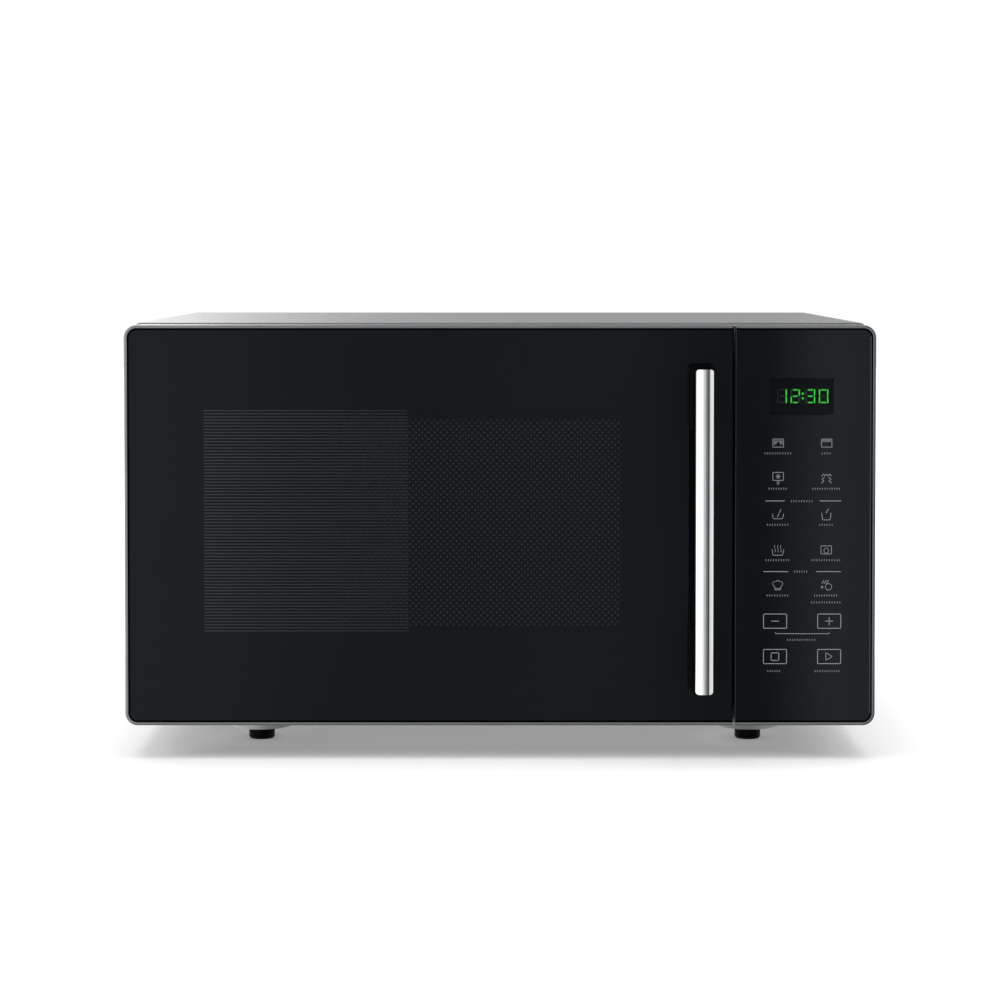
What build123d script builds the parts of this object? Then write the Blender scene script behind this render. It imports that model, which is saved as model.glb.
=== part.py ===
"""Countertop microwave oven with grill, built as separate pieces in millimetres.

+X runs to the right as the user faces the door, +Y to the back and +Z up.
The origin is the middle of the footprint, on the surface that the feet stand on.
"""
from build123d import *
from math import cos, radians, sin
from os import makedirs

makedirs("parts", exist_ok=True)

# ---- overall sizes
front_width = 483.0          # door and control panel together
overall_height = 281.0       # top of the cabinet above the surface
sheet = 1.0                  # steel sheet of cabinet, cavity and brackets
front_y = -170.0             # outer face of the two glass panes
door_depth = 34.0            # depth of the door and of the control moulding
shadow_gap = 2.0             # gap between the door's back and the front flange
cabinet_depth = 330.0        # front flange to back panel
cabinet_inset = 2.0          # each side wall stands back from the front moulding
spacer_length = 12.0         # rear spacers that hold the oven off a wall

# ---- front mouldings and panes
front_bottom = 22.3          # lower edge of door and control panel
front_top_drop = 0.7         # their upper edge lies this much under the cabinet top
door_width = 391.6
panel_gap = 1.2              # slit between door and control panel
corner_radius = 8.0          # outer front corners
slit_corner = 0.8            # corners beside the slit
rim = 1.8                    # rim seen around the glass
side_rim = 0.5               # rim along the slit
moulding_wall = 2.2
pane_gap = 0.8               # groove between rim and glass
pane_thickness = 3.5
ledge_width = 9.0            # ledge that the panes are bonded to
ledge_thickness = 1.5
hinge_edge_round = 4.0       # rear left edge of the door, clears the flange

# ---- door pan, choke and screen
pan_inset_side = 5.5
pan_inset_end = 6.7
latch_band = 9.6             # band right of the choke groove where the hooks stand
plateau_play = 1.0           # sealing plateau inside the cavity opening
plateau_y = 4.0              # sealing face ahead of the door's back
lip_width = 6.0              # turned-in lip of the choke
lip_drop = 2.0               # lip ahead of the sealing face
lip_slot = 3.0
lip_pitch = 20.0
window_width = 274.3         # clear area of the window
window_left = 50.9           # from the door's left edge
window_bottom = 60.4         # from the door's lower edge
window_top = 54.0            # from the door's upper edge
window_seat = 6.0            # margin that the screen is welded to
window_recess = 17.0         # depth of the drawn recess
screen_sheet = 0.8
screen_pitch = 14.0
screen_hole = 7.0
inner_pane_thickness = 2.5
inner_pane_margin = 5.0

# ---- handle
handle_length = 205.3
handle_width = 11.4
handle_right = 15.4          # from the door's right edge
handle_drop = 0.65           # handle's middle under the door's middle
handle_reach = 38.0          # bar's front ahead of the glass
handle_section = 9.0
handle_bulge = 3.0
handle_end_round = 2.2
mount_height = 43.3
mount_overhang = 2.6         # mounts stand past the bar's ends
mount_width = 16.0
mount_tip_width = 13.6
mount_tip_height = 40.0
mount_round = 2.5
handle_screw_r = 2.5
handle_screw_head_r = 4.0
handle_screw_head = 2.6
handle_screw_length = 18.0
handle_screw_depth = 16.0    # hole in the mount

# ---- hinge
hinge_edge = 11.0            # axis from the door's left edge
hinge_back = 22.0            # axis ahead of the door's back
hinge_pin_r = 2.5
hinge_pin_length = 10.0
hinge_running = 0.05
hinge_plate = 2.0
hinge_eye_r = 5.5
hinge_arm_reach = 29.0       # axis to the near side of the arm's root
hinge_arm_width = 12.0
hinge_plate_height = 15.0
bush_r = 4.0
bush_flange_r = 5.5
bush_flange = 1.2
bush_play = 0.3

# ---- latch
hook_thickness = 6.0
hook_height = 10.0
hook_tooth = 4.0
hook_tooth_length = 8.0
hook_reach = 24.0            # tip behind the flange
hook_rise = 51.0             # lower hook above the door's lower edge
hook_drop = 58.0             # upper hook under the door's upper edge
slide_depth = 6.0
slide_play = 0.3
latch_travel = 3.0
catch_clearance = 0.4
latch_wall = 2.5

# ---- cavity
cavity_width = 340.0
cavity_depth = 322.0
cavity_left = 19.5           # opening from the door's left edge
cavity_bottom = 43.0
cavity_ceiling = 22.0        # cavity's ceiling under the cabinet's top
cavity_corner = 10.0

# ---- turntable
plate_r = 135.0
plate_thickness = 4.0
plate_rise = 9.0
roller_r = 7.0
roller_width = 8.0
roller_inset = 31.0          # rollers' track inside the plate's rim
roller_track_r = plate_r - roller_inset
ring_section = 5.0
axle_r = 2.0
running = 0.05               # radial clearance of running fits
rolling_gap = 0.3
shaft_r = 3.5
coupler_r = 17.0
coupler_height = 8.0
turntable_motor_r = 25.0
turntable_motor_height = 15.0

# ---- base and feet
base_height = 17.0           # underside of the base plate
foot_height = 8.6
foot_r = 8.65
foot_boss_r = 20.0           # pressed bosses around the feet
foot_boss_top_r = 38.0
foot_left_x = -160.7
foot_right_x = 167.0
foot_front_y = -88.0
foot_rear_y = 150.0
foot_stem_r = 2.6
foot_barb_r = 4.2

# ---- derived places
half_width = front_width / 2
wall_x = half_width - cabinet_inset
door_back = front_y + door_depth
flange_y = door_back + shadow_gap
back_y = flange_y + cabinet_depth
front_top = overall_height - front_top_drop
door_left = -half_width
door_right = door_left + door_width
panel_left = door_right + panel_gap
pane_back = front_y + pane_thickness
ledge_back = pane_back + ledge_thickness
hinge_x = door_left + hinge_edge
hinge_y = door_back - hinge_back
cavity_x = (door_left + cavity_left, door_left + cavity_left + cavity_width)
cavity_z = (cavity_bottom, overall_height - cavity_ceiling)
cavity_back = flange_y + sheet + cavity_depth
inner_wall_x = wall_x - sheet
inner_top = overall_height - sheet
base_top = base_height + sheet
back_inner = back_y - sheet


def block(x, y, z, mode=Mode.ADD):
    """A straight block between pairs of limits."""
    with Locations((x[0], y[0], z[0])):
        Box(x[1] - x[0], y[1] - y[0], z[1] - z[0], align=(Align.MIN, Align.MIN, Align.MIN), mode=mode)


def outline(x, z, corner=0.0, mode=Mode.ADD):
    """A rectangle between pairs of limits, with equal corners, in the open sketch."""
    with Locations(((x[0] + x[1]) / 2, (z[0] + z[1]) / 2)):
        if corner > 0:
            RectangleRounded(x[1] - x[0], z[1] - z[0], corner, mode=mode)
        else:
            Rectangle(x[1] - x[0], z[1] - z[0], mode=mode)


def grow(limits, by):
    """Limits moved apart by the same amount at both ends."""
    return (limits[0] - by, limits[1] + by)


def upright(y, x, z, corner=0.0, mode=Mode.ADD):
    """A plate that faces the front, between two depths."""
    with BuildSketch(Plane.XZ.offset(-y[1])) as face:
        outline(x, z, corner)
    extrude(face.sketch, amount=y[1] - y[0], mode=mode)


def upright_ring(y, x, z, inset, corner=0.0):
    """A frame that faces the front, between two depths, as wide as inset."""
    with BuildSketch(Plane.XZ.offset(-y[1])) as face:
        outline(x, z, corner)
        outline(grow(x, -inset), grow(z, -inset), max(corner - inset, 0), Mode.SUBTRACT)
    extrude(face.sketch, amount=y[1] - y[0])


def moulding_outline(x, z, left_corner, right_corner, mode=Mode.ADD):
    """A front outline whose left and right corners have their own radii."""
    middle = (x[0] + x[1]) / 2
    outline((x[0], middle + corner_radius), z, left_corner, mode)
    outline((middle - corner_radius, x[1]), z, right_corner, mode)


# ================= cabinet =================
wrapper_bend = 4.0
vent_slot_width = 3.0
vent_slot_height = 26.0
vent_pitch = 8.0
vent_count = 14
vent_rows = 2
vent_row_pitch = 36.0
vent_middle_y = 110.0
vent_drop = 75.0             # side vents' middle under the top


def hood(limit, top, corner, mode=Mode.ADD):
    """An upside-down U outline, filled down to the base, in the open sketch."""
    with BuildLine() as line:
        bend = FilletPolyline(
            (-limit, base_height), (-limit, top), (limit, top), (limit, base_height), radius=corner
        )
        Line(bend @ 1, bend @ 0)
    make_face(line.edges(), mode=mode)


with BuildPart() as outer_wrapper:
    with BuildSketch(Plane.XZ.offset(-back_y)):
        hood(wall_x, overall_height, wrapper_bend)
        hood(inner_wall_x, inner_top, wrapper_bend - sheet, Mode.SUBTRACT)
    extrude(amount=cabinet_depth)
    with BuildSketch(Plane.YZ.offset(wall_x)):
        with Locations((vent_middle_y, overall_height - vent_drop)):
            with GridLocations(vent_pitch, vent_row_pitch, vent_count, vent_rows):
                Rectangle(vent_slot_width, vent_slot_height)
    extrude(amount=-2 * wall_x, mode=Mode.SUBTRACT)
outer_wrapper.part.label = "outer_wrapper"
export_step(outer_wrapper.part, "parts/outer_wrapper.step")

# Base plate: a tray with turned-up front and rear edges and a pressed boss round each foot.
sheet_play = 0.2
tray_front_edge = 6.0
tray_rear_edge = 15.0
tray_screw_inset = 13.5      # outer screws from the side walls
tray_screw_rise = 9.0        # screws above the underside
tray_screw_x = (tray_screw_inset - inner_wall_x, 0.0, inner_wall_x - tray_screw_inset)
tray_screw_z = base_height + tray_screw_rise
screw_r = 2.0
foot_places = (
    (foot_left_x, foot_front_y),
    (foot_right_x, foot_front_y),
    (foot_left_x, foot_rear_y),
    (foot_right_x, foot_rear_y),
)
base_x = (-inner_wall_x + sheet_play, inner_wall_x - sheet_play)
base_y = (flange_y + sheet, back_inner)
base_vent_count = 9
base_vent_pitch = 9.0
base_vent_length = 40.0
base_vent_x = 40.0
base_vent_y = 130.0

with BuildPart() as base_plate:
    with BuildSketch(Plane.XY.offset(base_height)):
        with Locations((0, (base_y[0] + base_y[1]) / 2)):
            Rectangle(base_x[1] - base_x[0], base_y[1] - base_y[0])
        with Locations(*foot_places):
            Circle(foot_boss_top_r - sheet, mode=Mode.SUBTRACT)
        with Locations((base_vent_x, base_vent_y)):
            with GridLocations(base_vent_pitch, 1, base_vent_count, 1):
                Rectangle(vent_slot_width, base_vent_length, mode=Mode.SUBTRACT)
    extrude(amount=sheet)
    block(base_x, (base_y[0], base_y[0] + sheet), (base_top, base_top + tray_front_edge))
    with BuildSketch(Plane.XZ.offset(-base_y[1])):
        outline(base_x, (base_top, base_top + tray_rear_edge))
        with Locations(*[(x, tray_screw_z) for x in tray_screw_x]):
            Circle(screw_r, mode=Mode.SUBTRACT)
    extrude(amount=sheet)
    for place in foot_places:
        with BuildSketch(Plane.XZ.offset(-place[1])):
            with BuildLine():
                Polyline(
                    (place[0] + foot_stem_r, foot_height),
                    (place[0] + foot_boss_r, foot_height),
                    (place[0] + foot_boss_top_r, base_height),
                    (place[0] + foot_boss_top_r, base_top),
                    (place[0] + foot_boss_top_r - sheet, base_top),
                    (place[0] + foot_boss_r - sheet / 2, foot_height + sheet),
                    (place[0] + foot_stem_r, foot_height + sheet),
                    close=True,
                )
            make_face()
        revolve(axis=Axis((place[0], place[1], 0), (0, 0, 1)))
base_plate.part.label = "base_plate"
export_step(base_plate.part, "parts/base_plate.step")

# Rubber feet: a tapered pad, and a barbed stem pushed through the boss.
foot_taper = 0.8
foot_names = ("foot_front_left", "foot_front_right", "foot_rear_left", "foot_rear_right")
foot_barb_height = 3.0
for name, place in zip(foot_names, foot_places):
    with BuildPart() as foot:
        with BuildSketch(Plane.XZ.offset(-place[1])):
            with BuildLine():
                Polyline(
                    (place[0], 0),
                    (place[0] + foot_r - foot_taper, 0),
                    (place[0] + foot_r, 1.2),
                    (place[0] + foot_r, foot_height),
                    (place[0] + foot_stem_r, foot_height),
                    (place[0] + foot_stem_r, foot_height + sheet),
                    (place[0] + foot_barb_r, foot_height + sheet),
                    (place[0] + foot_stem_r, foot_height + sheet + foot_barb_height),
                    (place[0], foot_height + sheet + foot_barb_height),
                    close=True,
                )
            make_face()
        revolve(axis=Axis((place[0], place[1], 0), (0, 0, 1)))
    foot.part.label = name
    export_step(foot.part, f"parts/{name}.step")

# Back panel: intake louvres behind the fan, outlet slots behind the cavity, cord inlet, screws.
back_x = base_x
back_z = (base_top, inner_top)
fan_inset = 58.5             # fan's axis from the right wall
fan_drop = 91.0              # fan's axis under the top
fan_x = inner_wall_x - fan_inset
fan_z = overall_height - fan_drop
louvre_width = 34.0
louvre_height = 3.5
louvre_pitch = 8.0
louvre_count = 11
outlet_x = -120.0
outlet_drop = 55.0
outlet_z = overall_height - outlet_drop
outlet_count = 16
outlet_length = 44.0
inlet_inset = 33.5
inlet_rise = 45.0
inlet_x = inner_wall_x - inlet_inset
inlet_z = base_height + inlet_rise
inlet_r = 8.0
inlet_bore_r = 4.0
inlet_flange_r = 11.0
inlet_length = 12.0
screw_head_r = 4.2
screw_head = 2.2
screw_length = 9.0
upper_screw_drop = 13.0
upper_screw_z = overall_height - upper_screw_drop
screw_places = [(x, z) for x in tray_screw_x for z in (tray_screw_z, upper_screw_z)]
spacer_r = 9.0
spacer_drop = 35.0
spacer_places = ((-190.0, overall_height - spacer_drop), (95.0, overall_height - spacer_drop))
spacer_stem_r = 3.0

with BuildPart() as back_panel:
    with BuildSketch(Plane.XZ.offset(-back_y)):
        outline(back_x, back_z, wrapper_bend - sheet)
        with Locations((fan_x, fan_z)):
            with GridLocations(louvre_width + vent_pitch, louvre_pitch, 2, louvre_count):
                Rectangle(louvre_width, louvre_height, mode=Mode.SUBTRACT)
        with Locations((outlet_x, outlet_z)):
            with GridLocations(vent_pitch, 1, outlet_count, 1):
                Rectangle(vent_slot_width, outlet_length, mode=Mode.SUBTRACT)
        with Locations((inlet_x, inlet_z)):
            Circle(inlet_r, mode=Mode.SUBTRACT)
        with Locations(*screw_places):
            Circle(screw_r, mode=Mode.SUBTRACT)
        with Locations(*spacer_places):
            Circle(spacer_stem_r, mode=Mode.SUBTRACT)
    extrude(amount=sheet)
    for hood_z in [fan_z + louvre_pitch * (row - (louvre_count - 1) / 2) for row in range(louvre_count)]:
        for hood_x in (fan_x - (louvre_width + vent_pitch) / 2, fan_x + (louvre_width + vent_pitch) / 2):
            with BuildSketch(Plane.YZ.offset(hood_x - louvre_width / 2)):
                with BuildLine():
                    Polyline(
                        (back_inner, hood_z + louvre_height / 2),
                        (back_inner, hood_z + louvre_height / 2 + sheet / 2),
                        (back_inner - 4, hood_z - louvre_height / 2 + sheet / 2),
                        (back_inner - 4, hood_z - louvre_height / 2),
                        close=True,
                    )
                make_face()
            extrude(amount=louvre_width)
back_panel.part.label = "back_panel"
export_step(back_panel.part, "parts/back_panel.step")

with BuildPart() as rear_spacers:
    for place in spacer_places:
        with BuildSketch(Plane.YZ.offset(place[0])):
            with BuildLine():
                Polyline(
                    (back_inner - 3, place[1]),
                    (back_inner - 3, place[1] + spacer_stem_r),
                    (back_y, place[1] + spacer_stem_r),
                    (back_y, place[1] + spacer_r),
                    (back_y + spacer_length - 2, place[1] + spacer_r - 1.5),
                    (back_y + spacer_length, place[1] + spacer_r - 3),
                    (back_y + spacer_length, place[1]),
                    close=True,
                )
            make_face()
        revolve(axis=Axis((place[0], 0, place[1]), (0, 1, 0)))
rear_spacers.part.label = "rear_spacers"
export_step(rear_spacers.part, "parts/rear_spacers.step")

# Cord inlet: the bush that the mains lead would pass through.
with BuildPart() as cord_inlet:
    with BuildSketch(Plane.YZ.offset(inlet_x)):
        with BuildLine():
            Polyline(
                (back_inner - inlet_length / 2, inlet_z + inlet_bore_r),
                (back_inner - inlet_length / 2, inlet_z + inlet_r),
                (back_y, inlet_z + inlet_r),
                (back_y, inlet_z + inlet_flange_r),
                (back_y + 2, inlet_z + inlet_flange_r),
                (back_y + inlet_length / 2, inlet_z + inlet_r - 1),
                (back_y + inlet_length / 2, inlet_z + inlet_bore_r),
                close=True,
            )
        make_face()
    revolve(axis=Axis((inlet_x, 0, inlet_z), (0, 1, 0)))
cord_inlet.part.label = "cord_inlet"
export_step(cord_inlet.part, "parts/cord_inlet.step")

# Case screws in the back panel.
with BuildPart() as case_screws:
    for place in screw_places:
        with Locations(Plane((place[0], back_y, place[1]), x_dir=(1, 0, 0), z_dir=(0, 1, 0))):
            Cylinder(screw_head_r, screw_head, align=(Align.CENTER, Align.CENTER, Align.MIN))
            Cylinder(screw_r, screw_length, align=(Align.CENTER, Align.CENTER, Align.MAX))
case_screws.part.label = "case_screws"
export_step(case_screws.part, "parts/case_screws.step")

# Front flange: the plate that the door closes on.
hook_z = [front_bottom + hook_rise, front_top - hook_drop]
latch_x = door_right - pan_inset_side - sheet - latch_band + slide_play
hook_x = (latch_x + 1.0, latch_x + 1.0 + hook_thickness)
hook_slot_x = (hook_x[0] - 1.5, hook_x[1] + 4.5)
hook_slot_down = hook_tooth + 3.0
hook_slot_up = hook_height + latch_travel + 2.0
panel_window_x = (panel_left + 4.0, half_width - 9.0)
panel_window_z = (front_bottom + 14.0, front_top - 14.0)
hinge_arm_x = (hinge_x + hinge_arm_reach, hinge_x + hinge_arm_reach + hinge_arm_width)
hinge_gap = bush_flange + bush_play
pan_z = (front_bottom + pan_inset_end, front_top - pan_inset_end)
hinge_plate_z = (
    (pan_z[0] - hinge_gap - hinge_plate, pan_z[0] - hinge_gap),
    (pan_z[1] + hinge_gap, pan_z[1] + hinge_gap + hinge_plate),
)

with BuildPart() as front_flange:
    with BuildSketch(Plane.XZ.offset(-flange_y - sheet)):
        outline(base_x, back_z, wrapper_bend - sheet)
        outline(cavity_x, cavity_z, cavity_corner, Mode.SUBTRACT)
        outline(panel_window_x, panel_window_z, 3.0, Mode.SUBTRACT)
        for centre in hook_z:
            outline(hook_slot_x, (centre - hook_slot_down, centre + hook_slot_up), 0, Mode.SUBTRACT)
        for plate_z in hinge_plate_z:
            outline(grow(hinge_arm_x, sheet_play), grow(plate_z, sheet_play), 0, Mode.SUBTRACT)
    extrude(amount=sheet)
front_flange.part.label = "front_flange"
export_step(front_flange.part, "parts/front_flange.step")

# ================= cavity =================
liner_x = grow(cavity_x, sheet)
liner_z = grow(cavity_z, sheet)
table_x = (cavity_x[0] + cavity_x[1]) / 2
table_y = (flange_y + sheet + cavity_back) / 2
shaft_hole_r = 6.0
guide_y = (10.0, 110.0)      # waveguide, front to back
guide_top = 31.0             # waveguide under the cavity's ceiling
guide_height = 90.0
guide_z = (cavity_z[1] - guide_top - guide_height, cavity_z[1] - guide_top)
guide_depth = 36.0
port_y = (25.0, 95.0)        # waveguide mouth in the cavity wall
port_top = 63.0
port_height = 48.0
port_z = (cavity_z[1] - port_top - port_height, cavity_z[1] - port_top)
lamp_y = -40.0
lamp_drop = 47.0
lamp_z = cavity_z[1] - lamp_drop
vent_hole_r = 2.2            # small holes keep the microwaves in
vent_hole_pitch = 6.5
lamp_hole_rows = 4
left_vent_y = 120.0
left_vent_drop = 59.0
left_vent_rows = 5
left_vent_columns = 9
element_y = 30.0             # terminals of the grill element, in the right wall
element_z = cavity_z[1] - 13.0
element_r = 3.25
element_spread = 70.0

with BuildPart() as cavity_liner:
    with BuildSketch(Plane.XZ.offset(-cavity_back - sheet)):
        outline(liner_x, liner_z, cavity_corner + sheet)
    extrude(amount=cavity_depth + sheet)
    offset(amount=-sheet, openings=cavity_liner.faces().sort_by(Axis.Y)[0])
    with Locations((table_x, table_y, cavity_z[0])):
        Cylinder(shaft_hole_r, 4 * sheet, mode=Mode.SUBTRACT)
    block((cavity_x[1] - sheet, liner_x[1] + sheet), port_y, port_z, Mode.SUBTRACT)
    with BuildSketch(Plane.YZ.offset(cavity_x[1] - sheet)):
        with Locations((lamp_y, lamp_z)):
            with GridLocations(vent_hole_pitch, vent_hole_pitch, lamp_hole_rows, lamp_hole_rows):
                RegularPolygon(vent_hole_r, 6)
    extrude(amount=3 * sheet, mode=Mode.SUBTRACT)
    with BuildSketch(Plane.YZ.offset(liner_x[0] - sheet)):
        with Locations((left_vent_y, cavity_z[1] - left_vent_drop)):
            with GridLocations(vent_hole_pitch, vent_hole_pitch, left_vent_columns, left_vent_rows):
                RegularPolygon(vent_hole_r, 6)
    extrude(amount=3 * sheet, mode=Mode.SUBTRACT)
    for end_y in (element_y - element_spread / 2, element_y + element_spread / 2):
        with Locations((liner_x[1], end_y, element_z)):
            Cylinder(element_r, 6 * sheet, rotation=(0, 90, 0), mode=Mode.SUBTRACT)
cavity_liner.part.label = "cavity_liner"
export_step(cavity_liner.part, "parts/cavity_liner.step")

# Mica cover over the waveguide mouth, clipped in from the cavity side.
mica_thickness = 0.8
mica_margin = 8.0
mica_notch = 5.0
with BuildPart() as waveguide_cover:
    with BuildSketch(Plane.YZ.offset(cavity_x[1] - mica_thickness)):
        outline(grow(port_y, mica_margin), grow(port_z, mica_margin))
        for corner_y in grow(port_y, mica_margin):
            for corner_z in grow(port_z, mica_margin):
                with Locations((corner_y, corner_z)):
                    Rectangle(2 * mica_notch, 2 * mica_notch, mode=Mode.SUBTRACT)
    extrude(amount=mica_thickness)
waveguide_cover.part.label = "waveguide_cover"
export_step(waveguide_cover.part, "parts/waveguide_cover.step")

# Waveguide: a closed duct from the magnetron's antenna to the cavity wall.
antenna_r = 9.0
magnetron_y = 60.0
magnetron_drop = 51.0
magnetron_z = cavity_z[1] - magnetron_drop
guide_x = (liner_x[1], liner_x[1] + guide_depth)
with BuildPart() as waveguide:
    block(guide_x, guide_y, guide_z)
    fillet(waveguide.edges().filter_by(Axis.X), 6.0)
    offset(amount=-sheet, openings=waveguide.faces().sort_by(Axis.X)[0])
    with Locations((guide_x[1], magnetron_y, magnetron_z)):
        Cylinder(antenna_r, 4 * sheet, rotation=(0, 90, 0), mode=Mode.SUBTRACT)
waveguide.part.label = "waveguide"
export_step(waveguide.part, "parts/waveguide.step")

# Cavity lamp: holder with its glass bulb, behind the lamp window.
lamp_bulb_r = 9.0
lamp_bulb_length = 24.0
with BuildPart() as cavity_lamp:
    with Locations(Plane((liner_x[1] + 4, lamp_y, lamp_z), x_dir=(0, 1, 0), z_dir=(1, 0, 0))):
        Sphere(lamp_bulb_r, align=(Align.CENTER, Align.CENTER, Align.MIN))
        with Locations((0, 0, lamp_bulb_r)):
            Cylinder(
                lamp_bulb_r, lamp_bulb_length - lamp_bulb_r, align=(Align.CENTER, Align.CENTER, Align.MIN)
            )
cavity_lamp.part.label = "cavity_lamp"
export_step(cavity_lamp.part, "parts/cavity_lamp.step")

lamp_box = 34.0
lamp_box_depth = 46.0
with BuildPart() as lamp_holder:
    block(
        (liner_x[1], liner_x[1] + lamp_box_depth),
        (lamp_y - lamp_box / 2, lamp_y + lamp_box / 2),
        (lamp_z - lamp_box / 2, lamp_z + lamp_box / 2),
    )
    fillet(lamp_holder.edges().filter_by(Axis.X), 4.0)
    offset(amount=-1.5, openings=lamp_holder.faces().sort_by(Axis.X)[0])
    with Locations(Plane((liner_x[1] + 4 + lamp_bulb_length, lamp_y, lamp_z), z_dir=(1, 0, 0))):
        Cylinder(
            lamp_bulb_r,
            lamp_box_depth - 4 - lamp_bulb_length,
            align=(Align.CENTER, Align.CENTER, Align.MIN),
        )
lamp_holder.part.label = "lamp_holder"
export_step(lamp_holder.part, "parts/lamp_holder.step")

# Grill element: one sheathed rod, bent back and forth under the ceiling.
element_bend = 30.0
element_left = cavity_x[0] + 40.0
element_end = liner_x[1] + 14.0
element_front = element_y - element_spread / 2
element_rear = element_y + element_spread / 2
element_turn = cavity_x[1] - 45.0
with BuildPart() as grill_element:
    with BuildLine(Plane.XY.offset(element_z)) as element_path:
        FilletPolyline(
            (element_end, element_front),
            (element_turn, element_front),
            (element_turn, element_front - 2 * element_bend),
            (element_left, element_front - 2 * element_bend),
            (element_left, element_rear + 2 * element_bend),
            (element_turn, element_rear + 2 * element_bend),
            (element_turn, element_rear),
            (element_end, element_rear),
            radius=element_bend * 0.8,
        )
    with BuildSketch(Plane(element_path.line @ 0, z_dir=element_path.line % 0)):
        Circle(element_r)
    sweep(path=element_path.line)
grill_element.part.label = "grill_element"
export_step(grill_element.part, "parts/grill_element.step")

# Clips that hang the element from the ceiling.
clip_inset = 90.0            # from the cavity's side walls
clip_x = grow(cavity_x, -clip_inset)
clip_width = 8.0
clip_wall = 1.2
clip_paths_y = (element_front - 2 * element_bend, element_rear + 2 * element_bend)
with BuildPart() as grill_clips:
    for middle_x in clip_x:
        for middle_y in clip_paths_y:
            with BuildSketch(Plane.YZ.offset(middle_x - clip_width / 2)):
                with Locations((middle_y, element_z)):
                    Circle(element_r + clip_wall)
                    with Locations((0, (cavity_z[1] - element_z) / 2)):
                        Rectangle(2 * clip_wall, cavity_z[1] - element_z)
                    Circle(element_r, mode=Mode.SUBTRACT)
            extrude(amount=clip_width)
grill_clips.part.label = "grill_clips"
export_step(grill_clips.part, "parts/grill_clips.step")

# ================= turntable =================
floor_z = cavity_z[0]
roller_z = floor_z + rolling_gap + roller_r
plate_z = roller_z + roller_r + rolling_gap
coupler_z = (plate_z - coupler_height - rolling_gap, plate_z - rolling_gap)
motor_top = liner_z[0]

with BuildPart() as turntable_motor:
    with BuildSketch(Plane.XY.offset(motor_top)):
        with Locations((table_x, table_y)):
            Circle(turntable_motor_r)
            Rectangle(2 * turntable_motor_r + 14, 12)
            with PolarLocations(turntable_motor_r + 3.5, 2):
                Circle(1.8, mode=Mode.SUBTRACT)
    extrude(amount=-sheet)
    with BuildSketch(Plane.XY.offset(motor_top - sheet)):
        with Locations((table_x, table_y)):
            Circle(turntable_motor_r)
            with Locations((0, -turntable_motor_r)):
                Rectangle(22, 12)
    extrude(amount=sheet - turntable_motor_height)
    with Locations((table_x, table_y, motor_top)):
        Hole(shaft_r + running, depth=turntable_motor_height - 3)
turntable_motor.part.label = "turntable_motor"
export_step(turntable_motor.part, "parts/turntable_motor.step")

shaft_bottom = motor_top - turntable_motor_height + 4
with BuildPart() as drive_shaft:
    with BuildSketch(Plane.XY.offset(shaft_bottom)):
        with Locations((table_x, table_y)):
            Circle(shaft_r)
    extrude(amount=coupler_z[0] + coupler_height / 2 - shaft_bottom)
drive_shaft.part.label = "drive_shaft"
export_step(drive_shaft.part, "parts/drive_shaft.step")

# Drive coupler: a hub with three rounded arms that turn the plate.
coupler_hub_r = 9.0
coupler_arm_width = 9.0
with BuildPart() as drive_coupler:
    with BuildSketch(Plane.XY.offset(coupler_z[0])):
        with Locations((table_x, table_y)):
            Circle(coupler_hub_r)
            with PolarLocations(coupler_r / 2, 3):
                SlotOverall(coupler_r + coupler_arm_width / 2, coupler_arm_width)
    extrude(amount=coupler_height)
    fillet(drive_coupler.edges().filter_by(Axis.Z), 1.5)
    chamfer(drive_coupler.faces().sort_by(Axis.Z)[-1].edges(), 1.0)
    with Locations((table_x, table_y, coupler_z[0] + coupler_height / 4)):
        Cylinder(shaft_r, coupler_height / 2, mode=Mode.SUBTRACT)
drive_coupler.part.label = "drive_coupler"
export_step(drive_coupler.part, "parts/drive_coupler.step")

# Glass plate: flat middle, raised edge, and three lugs that the coupler drives.
plate_flat_r = plate_r - 14.0
plate_rim_round = 2.0
lug_r = 4.0
lug_height = 5.0
lug_circle_r = coupler_r + 8.0
with BuildPart() as glass_plate:
    with BuildSketch(Plane.XZ.offset(-table_y)):
        with BuildLine():
            bottom = Polyline(
                (table_x, plate_z),
                (table_x + plate_flat_r, plate_z),
                (table_x + plate_r - plate_rim_round, plate_z + plate_rise),
            )
            Polyline(
                bottom @ 1,
                (table_x + plate_r, plate_z + plate_rise + 1),
                (table_x + plate_r, plate_z + plate_rise + plate_thickness - 1),
                (table_x + plate_r - plate_rim_round, plate_z + plate_rise + plate_thickness),
                (table_x + plate_flat_r - plate_rim_round, plate_z + plate_thickness),
                (table_x, plate_z + plate_thickness),
                bottom @ 0,
            )
        make_face()
    revolve(axis=Axis((table_x, table_y, 0), (0, 0, 1)))
    with Locations((table_x, table_y, plate_z)):
        with PolarLocations(lug_circle_r, 3, start_angle=60):
            Cylinder(lug_r, lug_height, align=(Align.CENTER, Align.CENTER, Align.MAX))
glass_plate.part.label = "glass_plate"
export_step(glass_plate.part, "parts/glass_plate.step")

# Roller ring: a hoop with three axles that point outwards.
hoop_outer_r = roller_track_r - roller_width / 2 - 1.0
hoop_inner_r = hoop_outer_r - ring_section
axle_length = roller_width + 2.5
with BuildPart() as roller_ring:
    with BuildSketch(Plane.XY.offset(roller_z - ring_section / 2)):
        with Locations((table_x, table_y)):
            Circle(hoop_outer_r)
            Circle(hoop_inner_r, mode=Mode.SUBTRACT)
    extrude(amount=ring_section)
    for place in PolarLocations(hoop_outer_r - 1, 3).locations:
        axle_start = Vector(table_x, table_y, roller_z) + place.position
        with BuildSketch(Plane(axle_start, z_dir=place.position.normalized())):
            Circle(axle_r)
        extrude(amount=axle_length)
roller_ring.part.label = "roller_ring"
export_step(roller_ring.part, "parts/roller_ring.step")

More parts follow.
